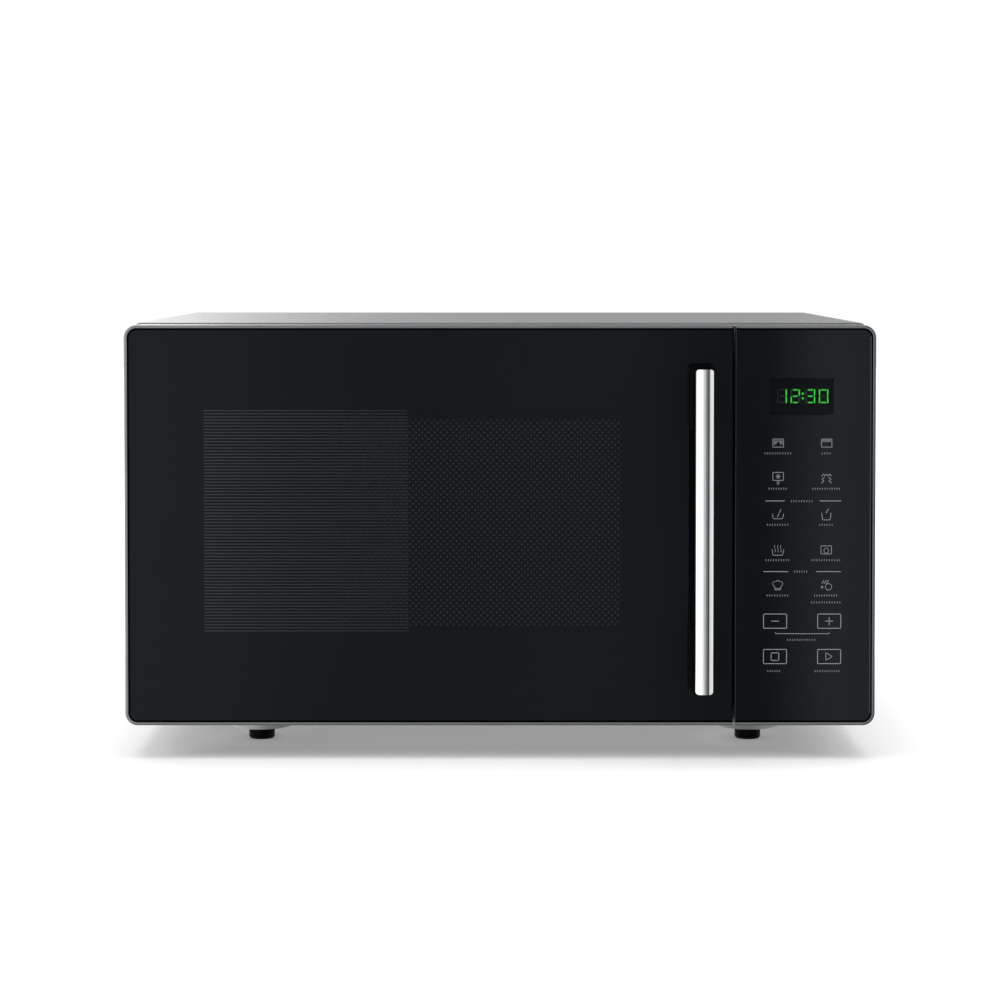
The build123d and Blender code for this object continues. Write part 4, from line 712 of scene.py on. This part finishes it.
CORE = Finish(
    "core_iron", (0.16, 0.155, 0.15), 0.85, 0.5, uneven=0.15, texture=0.0001, pitch=0.0005,
    grain=Grain.ALONG_X,
)
COPPER = Wound("copper", (0.62, 0.26, 0.11), 0.9, 0.3, texture=0.0003, wire=0.0011)
FINS = Finish(
    "fin_aluminium", (0.78, 0.79, 0.8), 1.0, 0.3, texture=0.00002, pitch=0.0008, grain=Grain.ALONG_Y
)
CERAMIC = Finish("stub_ceramic", (0.68, 0.62, 0.56), 0.0, 0.5, texture=0.00003, pitch=0.0005)
BOARD = Speckled(
    "board_green", (0.012, 0.075, 0.03), 0.0, 0.4, texture=0.00003, pitch=0.0012, speck=0.004,
    speck_colour=(0.3, 0.22, 0.08), share=0.5,
)
PLATE = ClearGlass("plate_glass", (0.2, 0.27, 0.25), 0.74)
INNER = ClearGlass("inner_pane", (0.06, 0.07, 0.07), 0.8)
MARK = Finish("mark_ink", (0.38, 0.385, 0.39), 0.0, 0.5, texture=0.000005, pitch=0.0004)
FAINT = Finish("faint_ink", (0.27, 0.275, 0.28), 0.0, 0.5, texture=0.000005, pitch=0.0004)
LIT = Glow("clock_lit", (0.05, 0.78, 0.06), 1.0, (0.02, 0.2, 0.03))
# The unlit segments are given a faint painted glow as well.
UNLIT = Glow("clock_unlit", (0.01, 0.01, 0.012), 0.2, (0.013, 0.0135, 0.016))
CLOCK_BACK = Finish(
    "clock_black", (0.002, 0.0023, 0.0038), 0.0, 0.5, specular=0.15, texture=0.00001, pitch=0.0005
)


def linked(name: str, data: bpy.types.ID) -> bpy.types.Object:
    """Makes an object and puts it in the scene."""
    made = bpy.data.objects.new(name, data)
    bpy.context.scene.collection.objects.link(made)
    return made


def mesh_of(name: str, shape: Shape) -> bpy.types.Mesh:
    """Turns a shape into a mesh and frees it."""
    mesh = bpy.data.meshes.new(name)
    shape.to_mesh(mesh)
    shape.free()
    return mesh


def add_piece(name: str, shape: Shape, finish: Material, body: str) -> bpy.types.Object:
    """Turns a finished shape into a piece that rides on a body.

    Args:
        name: The piece's name.
        shape: Its shape, in the part's frame. It is freed here.
        finish: Its material.
        body: The body that it moves with.

    Returns:
        The new object.
    """
    mesh = mesh_of(name, shape)
    piece = linked(name, mesh)
    mesh.materials.append(finish)
    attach(piece, body)
    LOG.info("%s: %d faces on %s", name, len(mesh.polygons), body)
    return piece


def lying(start: Point, end: Point, middle_y: float, size: Vec) -> Matrix:
    """Places a unit cube along the line between two points of a front face.

    Args:
        start: X and Z of one end.
        end: X and Z of the other end.
        middle_y: Y of the cube's middle.
        size: What is added to the line's length, the depth and the width.

    Returns:
        The cube's place, turn and size.
    """
    run = Vector((end[0] - start[0], end[1] - start[1]))
    turn = Matrix.Rotation(-math.atan2(run.y, run.x), 4, "Y")
    seat = Matrix.Translation(((start[0] + end[0]) / 2.0, middle_y, (start[1] + end[1]) / 2.0))
    return seat @ turn @ Matrix.Diagonal((run.length + size[0], size[1], size[2], 1.0))


@dataclass
class Marks:
    """Flat printed strokes on a plane that faces the front, drawn in millimetres.

    Args:
        face: Y of the surface that carries them, in metres.
        lift: How far they stand out of it.
        width: Usual width of a stroke.
        origin: X and Z that every point is measured from.
        shape: The mesh that takes the strokes.
    """

    face: float
    lift: float = 0.06
    width: float = 0.32
    origin: Point = (0.0, 0.0)
    shape: Shape = field(default_factory=bmesh.new)

    def spot(self, point: Point) -> Point:
        """Gives a point's X and Z in metres."""
        return (self.origin[0] + point[0]) * MM, (self.origin[1] + point[1]) * MM

    def path(self, *points: Point, closed: bool = False, width: float | None = None) -> None:
        """Adds straight strokes with square ends through points.

        Args:
            *points: X and Z of each point.
            closed: Whether the last joins the first.
            width: Width of the strokes, or None for the usual one.
        """
        wide, depth = (width or self.width) * MM, self.lift * MM
        spots = [self.spot(point) for point in (points + points[:1] if closed else points)]
        for start, end in zip(spots, spots[1:]):
            seat = lying(start, end, self.face - depth / 2.0, (wide, depth, wide))
            bmesh.ops.create_cube(self.shape, size=1.0, matrix=seat)

    def mirrored(self, *points: Point) -> None:
        """Adds strokes through points, and the same to the left of the origin."""
        self.path(*points)
        self.path(*((-x, z) for x, z in points))

    def frame(self, box: Box2, width: float | None = None) -> None:
        """Adds the outline of a rectangle."""
        corners = ((box.left, box.bottom), (box.right, box.bottom), (box.right, box.top), (box.left, box.top))
        self.path(*corners, closed=True, width=width)

    def ring(self, centre: Point, radius: float) -> None:
        """Adds a circle drawn as a thin ring.

        Args:
            centre: X and Z of its centre.
            radius: Its outer radius.
        """
        across, up = self.spot(centre)
        seat = Matrix.Translation((across, self.face - self.lift * MM, up)) @ UPRIGHT
        made = bmesh.ops.create_circle(
            self.shape, cap_ends=True, segments=20, radius=radius * MM, matrix=seat
        )
        faces = list({f for v in made["verts"] for f in v.link_faces})
        thickness = self.width * MM * 0.8
        bmesh.ops.inset_region(self.shape, faces=faces, thickness=thickness, use_boundary=True)
        bmesh.ops.delete(self.shape, geom=faces, context="FACES_ONLY")

    def wave(self, x: float, z: float, height: float, sway: float) -> None:
        """Adds an upright wavy stroke, as for rising heat."""
        low = z - height / 2.0
        turns = ((math.sin(step * math.pi / 3.0), step / 6.0) for step in range(7))
        self.path(*((x + sway * aside, low + height * done) for aside, done in turns))

    def diamond(self, x: float, z: float, half: float) -> None:
        """Adds a small diamond."""
        self.path((x - half, z), (x, z + half * 1.2), (x + half, z), (x, z - half * 1.2), closed=True)

    def zigzag(self, z: float, reach: float) -> None:
        """Adds a heating coil as a zigzag."""
        rise = 0.75
        self.path(*((reach * (step / 3.0 - 1.0), z + (rise if step % 2 else -rise)) for step in range(7)))

    def bowl(self, z: float, half: float, height: float) -> None:
        """Adds an open bowl with a narrower foot."""
        low, high = z - height / 2.0, z + height / 2.0
        self.path((-half, high), (-half * 0.8, low), (half * 0.8, low), (half, high))

    def dashes(self, x: float, z: float, wide: float) -> None:
        """Adds a row of short bars of one height."""
        count = max(2, round(wide / 1.6))
        for place in range(count):
            across = x - wide / 2.0 + place * wide / count + 0.5
            self.path((across, z - 0.4), (across, z + 0.4), width=0.42)


@dataclass
class Keypad:
    """The printed marks of the touch panel, all in millimetres but the face.

    Args:
        face: Y of the glass that carries them, in metres.
        columns: X of the two columns of pictures.
        rows: Z of the five rows.
        half: Half of a framed picture's width and height.
        label_drop: How far a label's dashes are below its picture's middle.
        label_widths: Widths of the dashes under each row's two pictures.
        more_labels: X, Z and width of the other rows of dashes.
        dividers: First X, last X and Z of each dividing line.
        key_sides: Left and right edge of each column of keys.
        key_levels: Lower and upper edge of each row of keys.
        heavy: Width of the dividers' and the keys' strokes.
    """

    face: float
    columns: Point = (178.8, 209.9)
    rows: tuple[float, ...] = (204.55, 181.8, 158.5, 135.7, 112.9)
    half: Point = (3.4, 2.584)
    label_drop: float = 6.6
    label_widths: tuple[Point, ...] = ((18.0, 6.6), (12.6, 18.6), (14.6, 9.6), (16.4, 19.4), (14.8, 15.8))
    more_labels: tuple[Vec, ...] = (
        (210.0, 101.8, 20.0), (194.3, 167.1, 15.0), (193.8, 121.7, 9.4),
        (194.3, 77.6, 19.0), (176.5, 57.4, 9.0), (211.0, 57.4, 17.0),
    )
    dividers: tuple[Vec, ...] = (
        (171.0, 182.9, 167.3), (205.8, 219.2, 167.3), (169.7, 185.4, 121.7), (203.5, 219.2, 121.7),
    )
    key_sides: tuple[Point, ...] = ((169.7, 184.6), (204.55, 219.45))
    key_levels: tuple[Point, ...] = ((85.1, 94.3), (62.2, 71.4))
    heavy: float = 0.4

    def start(self, marks: Marks, row: int, column: int, raised: float | None = None) -> None:
        """Goes to a picture's middle and frames it where asked.

        Args:
            marks: The strokes so far.
            row: The picture's row, from the top.
            column: 0 for the left one, 1 for the right one.
            raised: How far the frame stands above the middle, or None for no frame.
        """
        marks.origin = (self.columns[column], self.rows[row])
        if raised is not None:
            wide, high = self.half
            marks.frame(Box2(-wide, wide, raised - high, raised + high))

    def pictures(self, marks: Marks) -> None:
        """Draws the ten pictures, row by row."""
        self.start(marks, 0, 0, raised=0.0)
        marks.mirrored((0.3, 1.5), (1.9, -0.9))
        marks.mirrored((1.2, 1.6), (2.6, -0.5))
        marks.mirrored((2.1, 1.6), (2.8, 0.6))
        self.start(marks, 0, 1, raised=0.0)
        marks.zigzag(1.4, 2.7)
        self.start(marks, 1, 0, raised=1.3)
        for angle in (0.0, math.pi / 3.0, math.pi / 1.5):
            x, z = 1.5 * math.cos(angle), 1.5 * math.sin(angle)
            marks.path((-x, 1.3 - z), (x, 1.3 + z))
        marks.diamond(0.0, -2.9, 0.9)
        self.start(marks, 1, 1)
        marks.zigzag(2.2, 3.1)
        marks.mirrored((3.2, -2.9), (1.5, -1.7), (3.0, -0.5), (1.3, 0.6))
        self.start(marks, 2, 0)
        marks.bowl(-1.2, 3.6, 3.0)
        marks.path((-0.4, -1.6), (1.8, 3.2))
        self.start(marks, 2, 1)
        marks.bowl(-1.2, 3.0, 4.4)
        marks.path((-0.2, 1.0), (1.2, 3.6))
        self.start(marks, 3, 0)
        marks.bowl(-1.6, 3.8, 3.6)
        for x in (-1.9, 0.0, 1.9):
            marks.wave(x, 0.8, 4.0, 0.35)
        self.start(marks, 3, 1, raised=0.0)
        marks.ring((0.0, -0.4), 1.7)
        self.start(marks, 4, 0)
        marks.mirrored((1.9, -3.0), (1.9, -0.9), (3.1, 0.2), (3.3, 1.5), (2.3, 2.4), (1.3, 2.4), (0.0, 3.3))
        for z in (-3.0, -2.1):
            marks.path((-1.9, z), (1.9, z))
        self.start(marks, 4, 1)
        marks.ring((1.6, -1.0), 2.2)
        for x in (-2.6, -1.1, 0.4):
            marks.path((x, 1.2), (x + 1.1, 3.1))
        marks.diamond(-2.6, -1.2, 0.7)

    def labels(self, marks: Marks) -> None:
        """Draws rows of plain dashes where the labels would be."""
        for z, widths in zip(self.rows, self.label_widths):
            for x, wide in zip(self.columns, widths):
                marks.dashes(x, z - self.label_drop, wide)
        for x, z, wide in self.more_labels:
            marks.dashes(x, z, wide)

    def keys(self, marks: Marks) -> None:
        """Draws the dividers, the four framed keys and the bracket between them."""
        marks.origin = (0.0, 0.0)
        for first, last, z in self.dividers:
            marks.path((first, z), (last, z), width=self.heavy)
        for left, right in self.key_sides:
            for low, high in self.key_levels:
                marks.frame(Box2(left, right, low, high), self.heavy)
        for first, last in ((174.8, 179.4), (209.7, 214.3)):
            marks.path((first, 89.7), (last, 89.7), width=self.heavy)
        marks.path((212.0, 87.4), (212.0, 92.0), width=self.heavy)
        marks.frame(Box2(174.7, 179.6, 64.3, 69.2), self.heavy)
        marks.path((209.9, 64.3), (209.9, 69.4), (214.0, 66.8), closed=True)
        marks.path((177.4, 82.4), (177.4, 81.6), (211.9, 81.6), (211.9, 82.4))
        marks.path((194.3, 81.6), (194.3, 81.0))

    def build(self, ink: Material, faint: Material) -> None:
        """Makes the two pieces of print.

        Args:
            ink: Material of the pictures and keys.
            faint: Material of the dashes.
        """
        drawn = Marks(self.face)
        self.pictures(drawn)
        self.keys(drawn)
        add_piece("keypad_marks", drawn.shape, ink, "cabinet")
        strips = Marks(self.face)
        self.labels(strips)
        add_piece("keypad_label_strips", strips.shape, faint, "cabinet")


class Segment(Enum):
    """The seven bars of a digit, each from one corner to the next on a 1 by 2 grid."""

    TOP = ((0, 2), (1, 2))
    UPPER_LEFT = ((0, 1), (0, 2))
    UPPER_RIGHT = ((1, 1), (1, 2))
    MIDDLE = ((0, 1), (1, 1))
    LOWER_LEFT = ((0, 0), (0, 1))
    LOWER_RIGHT = ((1, 0), (1, 1))
    FOOT = ((0, 0), (1, 0))


@dataclass
class Clock:
    """The four-digit clock behind the panel's glass, set to half past twelve.

    Args:
        face: Y of the surface that carries the segments.
        low: Z of the digits' lowest line.
        height: Height of a digit.
        thick: Width of a segment.
        gap: How far a bar across stops from the uprights' middles.
        depth: How far a segment stands out of its face.
        dots: X of the two dots between the hours and the minutes, and Z of each.
        places: X span of each digit.
        values: The digits shown.
    """

    face: float
    low: float = 0.2305
    height: float = 0.0081
    thick: float = 0.8 * MM
    gap: float = 1.0 * MM
    depth: float = 0.12 * MM
    dots: Vec = (0.19485, 0.2332, 0.2362)
    places: tuple[Point, ...] = ((0.1788, 0.1842), (0.1874, 0.1926), (0.1971, 0.2024), (0.2056, 0.2109))
    values: tuple[int, ...] = (1, 2, 3, 0)

    DARK = {
        0: {Segment.MIDDLE},
        1: set(Segment) - {Segment.UPPER_RIGHT, Segment.LOWER_RIGHT},
        2: {Segment.UPPER_LEFT, Segment.LOWER_RIGHT},
        3: {Segment.UPPER_LEFT, Segment.LOWER_LEFT},
    }

    def ends(self, bar: Segment, left: float, right: float) -> tuple[Point, Point]:
        """Gives a bar's two ends. The bars across stop short of the upright ones.

        Args:
            bar: The bar.
            left: X of the digit's left uprights.
            right: X of its right uprights.

        Returns:
            X and Z of each end.
        """
        rise = self.height / 2.0
        (column, row), (_, upper) = bar.value
        if row == upper:
            level = self.low + row * rise
            return (left + self.gap, level), (right - self.gap, level)
        across = right if column else left
        foot = self.low + row * rise + (0.3 * MM if row else -self.thick / 2.0)
        head = self.low + upper * rise + (self.thick / 2.0 if upper == 2 else -0.3 * MM)
        return (across, foot), (across, head)

    def segment(self, shape: Shape, start: Point, end: Point) -> None:
        """Adds one bar with pointed ends.

        Args:
            shape: The mesh that takes it.
            start: X and Z of one end.
            end: X and Z of the other end.
        """
        seat = lying(start, end, self.face - self.depth / 2.0, (0.0, self.depth, self.thick))
        made = bmesh.ops.create_cube(shape, size=1.0, matrix=seat)
        edges = {edge for vert in made["verts"] for edge in vert.link_edges}
        ends = [edge for edge in edges if abs((edge.verts[0].co - edge.verts[1].co).normalized().y) > 0.9]
        bmesh.ops.bevel(
            shape, geom=ends, offset=self.thick * 0.36, affect="EDGES", segments=1, profile=0.5, material=-1
        )

    def build(self, lit: Material, unlit: Material) -> None:
        """Makes the lit and the unlit segments.

        Args:
            lit: Material of the lit ones.
            unlit: Material of the others.
        """
        glowing, dark = bmesh.new(), bmesh.new()
        for (left, right), value in zip(self.places, self.values):
            for bar in Segment:
                start, end = self.ends(bar, left, right)
                self.segment(dark if bar in self.DARK[value] else glowing, start, end)
        x, *levels = self.dots
        radius = 0.7 * MM
        for z in levels:
            seat = Matrix.Translation((x, self.face - self.depth / 2.0, z)) @ UPRIGHT
            bmesh.ops.create_cone(
                glowing, cap_ends=True, segments=16,
                radius1=radius, radius2=radius, depth=self.depth, matrix=seat,
            )
        add_piece("clock_lit", glowing, lit, "cabinet")
        add_piece("clock_unlit", dark, unlit, "cabinet")


@dataclass
class FineScreen:
    """The finely perforated sheet behind the door's window.

    Args:
        solid: The solid sheet that it stands for.
        step: Pitch of the holes along a row.
        hole: How much of a corner each hole takes.
        margin: Plain border of the sheet.
    """

    solid: str = "door_screen"
    step: float = 3.0 * MM
    hole: float = 0.95 * MM
    margin: float = 7.0 * MM

    def build(self, finish: Material) -> None:
        """Makes the sheet in place of the solid one."""
        low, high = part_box(self.solid)
        centre = (Vector(low) + Vector(high)) / 2.0
        half = max(high[0] - low[0], high[2] - low[2]) * 0.6
        cells = int(2.0 * half / (self.step / math.sqrt(2.0)))
        shape = bmesh.new()
        lie = Matrix.Translation(centre) @ UPRIGHT @ Matrix.Rotation(math.pi / 4, 4, "Z")
        bmesh.ops.create_grid(shape, x_segments=cells, y_segments=cells, size=half, matrix=lie)
        margin = self.margin
        window = ((low[0] + margin, high[0] - margin), (low[2] + margin, high[2] - margin))
        for axis, (start, end) in ((0, window[0]), (2, window[1])):
            for place, sign in ((start, -1.0), (end, 1.0)):
                normal = Vector((sign if axis == 0 else 0.0, 0.0, sign if axis == 2 else 0.0))
                spot = centre.copy()
                spot[axis] = place
                everything = shape.verts[:] + shape.edges[:] + shape.faces[:]
                bmesh.ops.bisect_plane(
                    shape, geom=everything, plane_co=spot, plane_no=normal, clear_outer=True
                )
        inner = [v for v in shape.verts if not v.is_boundary]
        made = bmesh.ops.bevel(
            shape, geom=inner, offset=self.hole, offset_type="OFFSET",
            affect="VERTICES", segments=2, profile=0.5, material=-1,
        )
        bmesh.ops.delete(shape, geom=made["faces"], context="FACES_ONLY")
        places = ((low[0], low[2]), (high[0], low[2]), (high[0], high[2]), (low[0], high[2]))
        corners = [shape.verts.new((x, centre.y, z)) for x, z in places]
        sheet = shape.faces.new(corners)
        bmesh.ops.inset_region(shape, faces=[sheet], thickness=margin, use_boundary=True)
        bmesh.ops.delete(shape, geom=[sheet], context="FACES_ONLY")
        piece = add_piece("door_fine_screen", shape, finish, "door")
        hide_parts(self.solid)


@dataclass
class CoilSpring:
    """The latch spring, with closed ends, pressed together as the latch lifts.

    Args:
        solid: The solid spring that it stands for.
        wire: Radius of the wire.
        turns: Number of turns between the ends.
        closed: Turns at each end that lie close together.
        tight: Climb of such a turn, in wire radii.
        travel: How far the latch lifts. Not used.
        ring: Points round the wire.
        steps: Points along each turn.
    """

    solid: str = "latch_spring"
    wire: float = 0.45 * MM
    turns: float = 6.0
    closed: float = 1.0
    tight: float = 2.2
    travel: float = 3.0 * MM
    ring: int = 8
    steps: int = 24

    def climb(self, done: float, height: float) -> float:
        """Gives how far the coil has climbed.

        Args:
            done: Turns made so far.
            height: The whole climb.

        Returns:
            The height reached.
        """
        tight = self.tight * self.wire
        open_height = height - 2.0 * self.closed * tight
        middle = min(max(done - self.closed, 0.0), self.turns)
        ends = min(done, self.closed) + max(done - self.closed - self.turns, 0.0)
        return ends * tight + middle / self.turns * open_height

    def build(self, finish: Material) -> None:
        """Makes the spring in place of the solid one."""
        low, high = (Vector(corner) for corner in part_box(self.solid))
        centre = (low + high) / 2.0
        radius = min(high.x - low.x, high.y - low.y) / 2.0 - self.wire
        bottom, height = low.z + self.wire, high.z - low.z - 2.0 * self.wire
        total = self.turns + 2.0 * self.closed
        up = Vector((0.0, 0.0, 1.0))
        shape = bmesh.new()
        before: list[bmesh.types.BMVert] = []
        for step in range(int(total * self.steps) + 1):
            done = step / self.steps
            out = Vector((math.cos(done * math.tau), math.sin(done * math.tau), 0.0))
            spot = Vector((centre.x, centre.y, bottom + self.climb(done, height))) + out * radius
            around = [
                shape.verts.new(spot + self.wire * (out * math.cos(angle) + up * math.sin(angle)))
                for angle in (point * math.tau / self.ring for point in range(self.ring))
            ]
            if before:
                for point in range(self.ring):
                    following = (point + 1) % self.ring
                    shape.faces.new((before[point], around[point], around[following], before[following]))
            else:
                shape.faces.new(around)
            before = around
        shape.faces.new(before[::-1])
        bmesh.ops.recalc_face_normals(shape, faces=shape.faces)
        for face in shape.faces:
            face.smooth = True
        piece = add_piece("latch_coil_spring", shape, finish, "latch")
        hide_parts(self.solid)
        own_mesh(piece)


@dataclass
class Studio:
    """The white floor, the lamps, the surroundings and the camera.

    Args:
        distance: How far the camera stands in front of the door's glass.
        eye: Height of the camera.
        lens: Focal length in millimetres on a 36 mm sensor.
        shift: Vertical shift of the lens.
        tilt: How far the camera looks down, in degrees.
        foot: Place on the floor, X and Y, round which its glow is kept low as a painted shadow, and outside which
            it fades to plain white.
        mirror: What polished surfaces see round the room: degrees to the right of the viewer and brightness.
    """

    distance: float = 1.733
    eye: float = 0.3239
    lens: float = 97.25
    shift: float = -0.155
    tilt: float = 1.86
    foot: Box2 = Box2(-0.22, 0.232, -0.17, 0.19)
    mirror: tuple[Point, ...] = (
        (-180.0, 0.28), (-177.5, 0.32), (-174.5, 0.8), (-172.0, 2.2), (-168.0, 1.3), (-27.0, 1.25),
        (-16.7, 0.88), (-7.3, 0.84), (-4.2, 0.54), (-1.7, 0.48), (2.1, 0.56), (3.0, 0.54),
        (3.7, 0.4), (4.8, 0.38), (5.0, 0.2), (5.7, 0.26), (6.0, 0.66), (7.3, 1.2),
        (9.0, 0.6), (11.0, 0.3), (25.0, 0.2), (36.0, 0.15), (43.0, 0.02), (50.0, 0.02),
        (55.0, 0.6), (70.0, 0.75), (98.0, 0.88), (120.0, 1.0), (165.0, 0.9), (174.0, 0.28),
        (180.0, 0.28),
    )

    def camera(self, glass: float) -> None:
        """Sets the camera in front of the glass at a given Y."""
        data = bpy.data.cameras.new("camera")
        data.lens = self.lens
        data.sensor_width = 36.0
        data.shift_y = self.shift
        data.clip_end = 50.0
        seen = linked("camera", data)
        seen.location = (0.0, glass - self.distance, self.eye)
        seen.rotation_euler = (math.radians(90.0 - self.tilt), 0.0, 0.0)
        bpy.context.scene.camera = seen

    def lamp(self, name: str, place: Vec, aim: Vec, size: Point, power: float) -> None:
        """Adds a soft rectangular lamp.

        Args:
            name: The lamp's name.
            place: Where it hangs.
            aim: The point that it faces.
            size: Its width and height.
            power: Watts.
        """
        data = bpy.data.lights.new(name, "AREA")
        data.shape = "RECTANGLE"
        data.size, data.size_y = size
        data.energy = power
        lamp = linked(name, data)
        lamp.location = place
        lamp.rotation_euler = (Vector(aim) - Vector(place)).to_track_quat("-Z", "Y").to_euler()

    def floor(self) -> None:
        """Lays a white floor that keeps the lamps' shadow, with a painted shadow round the oven's footprint."""
        shape = bmesh.new()
        bmesh.ops.create_grid(shape, x_segments=1, y_segments=1, size=6.0)
        mesh = mesh_of("floor", shape)
        ground = linked("floor", mesh)
        ground.visible_glossy = False
        graph = Graph.material("floor_white")
        path = graph.node("LightPath")
        across, along, _ = graph.axes()
        # Painted shadow: the floor glows less within and just round the footprint, joining the lamps' real
        # shadow, and is plain white further out.
        past = []
        foot = self.foot
        for value, low, high in ((across, foot.left, foot.right), (along, foot.bottom, foot.top)):
            past.append(graph.past(value, (low + high) / 2, (high - low) / 2))
        far = graph.most(past[0], past[1])
        near, rest = graph.span(far, -0.04, 0.05, 0.17, 0.37), graph.span(far, 0.05, 0.12, 0.0, 0.7)
        fade = graph.plus(near, rest)
        shader = graph.surface(
            Base_Color=graph.mix(graph.spread(graph.noise(3.0)), (0.82, 0.82, 0.82), (0.8, 0.8, 0.8)),
            Roughness=0.7,
            Specular_IOR_Level=0.1,
            Emission_Color=(1.0, 1.0, 1.0, 1.0),
        )
        seen = graph.most(path.outputs["Is Camera Ray"], path.outputs["Is Transmission Ray"])
        graph.link(graph.times(seen, fade), shader.inputs["Emission Strength"])
        mesh.materials.append(graph.owner)

    def surroundings(self) -> None:
        """Fills the room with even light, seen as white, with softboxes that polished surfaces mirror."""
        bpy.context.scene.world = bpy.data.worlds.new("studio")
        graph = Graph(bpy.context.scene.world)
        path = graph.node("LightPath")
        source = graph.node("TexCoord")
        split = graph.node("SeparateXYZ")
        graph.link(source.outputs["Generated"], split.inputs["Vector"])
        turn = graph.math("ARCTAN2", split.outputs["X"], graph.times(split.outputs["Y"], -1.0))
        place = graph.span(turn, -math.pi, math.pi, 0.0, 1.0)
        stops = tuple(((angle + 180.0) / 360.0, level) for angle, level in self.mirror)
        round_room = graph.steps(place, stops)
        upward = graph.span(split.outputs["Z"], 0.45, 0.8, 0.0, 1.6)
        downward = graph.span(split.outputs["Z"], -0.6, -0.2, 0.4, 1.0)
        brightness = graph.most(graph.times(round_room, downward), upward)
        shades = []
        for strength in (0.55, brightness, 1.0):
            shade = graph.node("Background")
            graph.feed(shade.inputs["Strength"], strength)
            shade.inputs["Color"].default_value = (1.0, 1.0, 1.0, 1.0)
            shades.append(shade.outputs[0])
        direct = graph.most(path.outputs["Is Camera Ray"], path.outputs["Is Transmission Ray"])
        for test, other in ((path.outputs["Is Glossy Ray"], shades[1]), (direct, shades[2])):
            mixed = graph.node("MixShader")
            graph.link(test, mixed.inputs[0])
            graph.link(shades[0], mixed.inputs[1])
            graph.link(other, mixed.inputs[2])
            shades[0] = mixed.outputs[0]
        graph.link(shades[0], graph.output.inputs["Surface"])

    def build(self, glass: float) -> None:
        """Sets up the whole studio.

        Args:
            glass: Y of the door's glass.
        """
        self.camera(glass)
        self.floor()
        self.surroundings()
        self.lamp("lamp_above", (0.0, -0.3, 2.2), (0.0, 0.0, 0.1), (2.4, 1.8), 26.0)
        self.lamp("lamp_left", (-2.0, -1.0, 1.2), (0.0, 0.0, 0.15), (1.2, 1.6), 14.0)
        self.lamp("lamp_right", (2.0, -1.0, 1.0), (0.0, 0.0, 0.15), (1.2, 1.6), 9.0)
        view = bpy.context.scene.view_settings
        view.view_transform = "Standard"


@dataclass
class Wardrobe:
    """Gives every solid of the part its finish."""

    built: dict[str, Material] = field(default_factory=dict)

    def material(self, finish: AnyFinish) -> Material:
        """Makes a finish's material once.

        Args:
            finish: The finish.

        Returns:
            Its material.
        """
        if finish.name not in self.built:
            self.built[finish.name] = finish.build()
        return self.built[finish.name]

    def dress_all(self, nodes: dict[str, bpy.types.Object]) -> None:
        """Dresses each solid by name.

        Args:
            nodes: The part's solids.
        """
        unknown = sorted(set(nodes) - set(FINISHES))
        if unknown:
            raise KeyError(f"no finish for {unknown}")
        for name, node in nodes.items():
            for slot in node.material_slots:
                slot.material = self.material(FINISHES[name])
            LOG.info("%s: %s", name, FINISHES[name].name)


WINDOW = Box2(-0.1906, 0.0837, 0.0827, 0.2263)
DISPLAY = Box2(0.1735, 0.2142, 0.223, 0.2461)
FRONT_GLASS = PrintedGlass("door_glass_print", WINDOW, lines=2.0 * MM)
PANEL_GLASS = PrintedGlass("panel_glass_print", DISPLAY, 0.25)

WORN_BY: tuple[tuple[AnyFinish, str], ...] = (
    (WHITE_PLASTIC,
     "air_duct drive_coupler drive_shaft hinge_bushes roller_1 roller_2 roller_3 roller_ring"),
    (ZINC,
     "back_panel base_plate case_screws handle_screws hinge_bracket_lower hinge_bracket_upper "
     "magnetron_yoke turntable_motor waveguide"),
    (BLACK,
     "board_components cord_inlet fan_housing fan_impeller hv_diode latch_board latch_slide "
     "microswitches rear_spacers"),
    (PLATE, "cavity_lamp glass_plate"),
    (ENAMEL, "cavity_liner front_flange"),
    (CHOKE, "choke_cover"),
    (BOARD, "control_board noise_filter"),
    (SILVER, "control_frame door_frame"),
    (PANEL_GLASS, "control_glass"),
    (CLOCK_BACK, "display_module"),
    (FRONT_GLASS, "door_glass"),
    (PAN, "door_pan door_screen"),
    (CORE, "fan_motor transformer_core"),
    (RUBBER, "foot_front_left foot_front_right foot_rear_left foot_rear_right"),
    (CERAMIC, "grill_clips lamp_holder"),
    (ELEMENT, "grill_element"),
    (BAR, "handle_bar"),
    (GLOSS_BLACK, "handle_mount_lower handle_mount_upper"),
    (FINS, "hv_capacitor magnetron_core"),
    (INNER, "inner_glass"),
    (BRIGHT, "latch_spring magnetron_antenna"),
    (PAINT, "outer_wrapper"),
    (COPPER, "transformer_windings"),
    (MICA, "waveguide_cover"),
)
FINISHES = {name: finish for finish, names in WORN_BY for name in names.split()}


def main() -> None:
    """Dresses the part, adds its printed and fine pieces, and sets the studio."""
    logging.basicConfig(level=logging.INFO, format="%(name)s: %(message)s")
    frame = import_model()
    nodes: dict[str, bpy.types.Object] = frame["nodes"]
    glass_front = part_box("door_glass")[0][1]
    panel_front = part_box("control_glass")[0][1]
    clock_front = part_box("display_module")[0][1]
    Studio().build(glass_front)
    wardrobe = Wardrobe()
    wardrobe.dress_all(nodes)
    FineScreen().build(wardrobe.material(PAN))
    CoilSpring().build(wardrobe.material(BRIGHT))
    Keypad(panel_front).build(wardrobe.material(MARK), wardrobe.material(FAINT))
    Clock(clock_front).build(wardrobe.material(LIT), wardrobe.material(UNLIT))


if __name__ == "__main__":
    main()
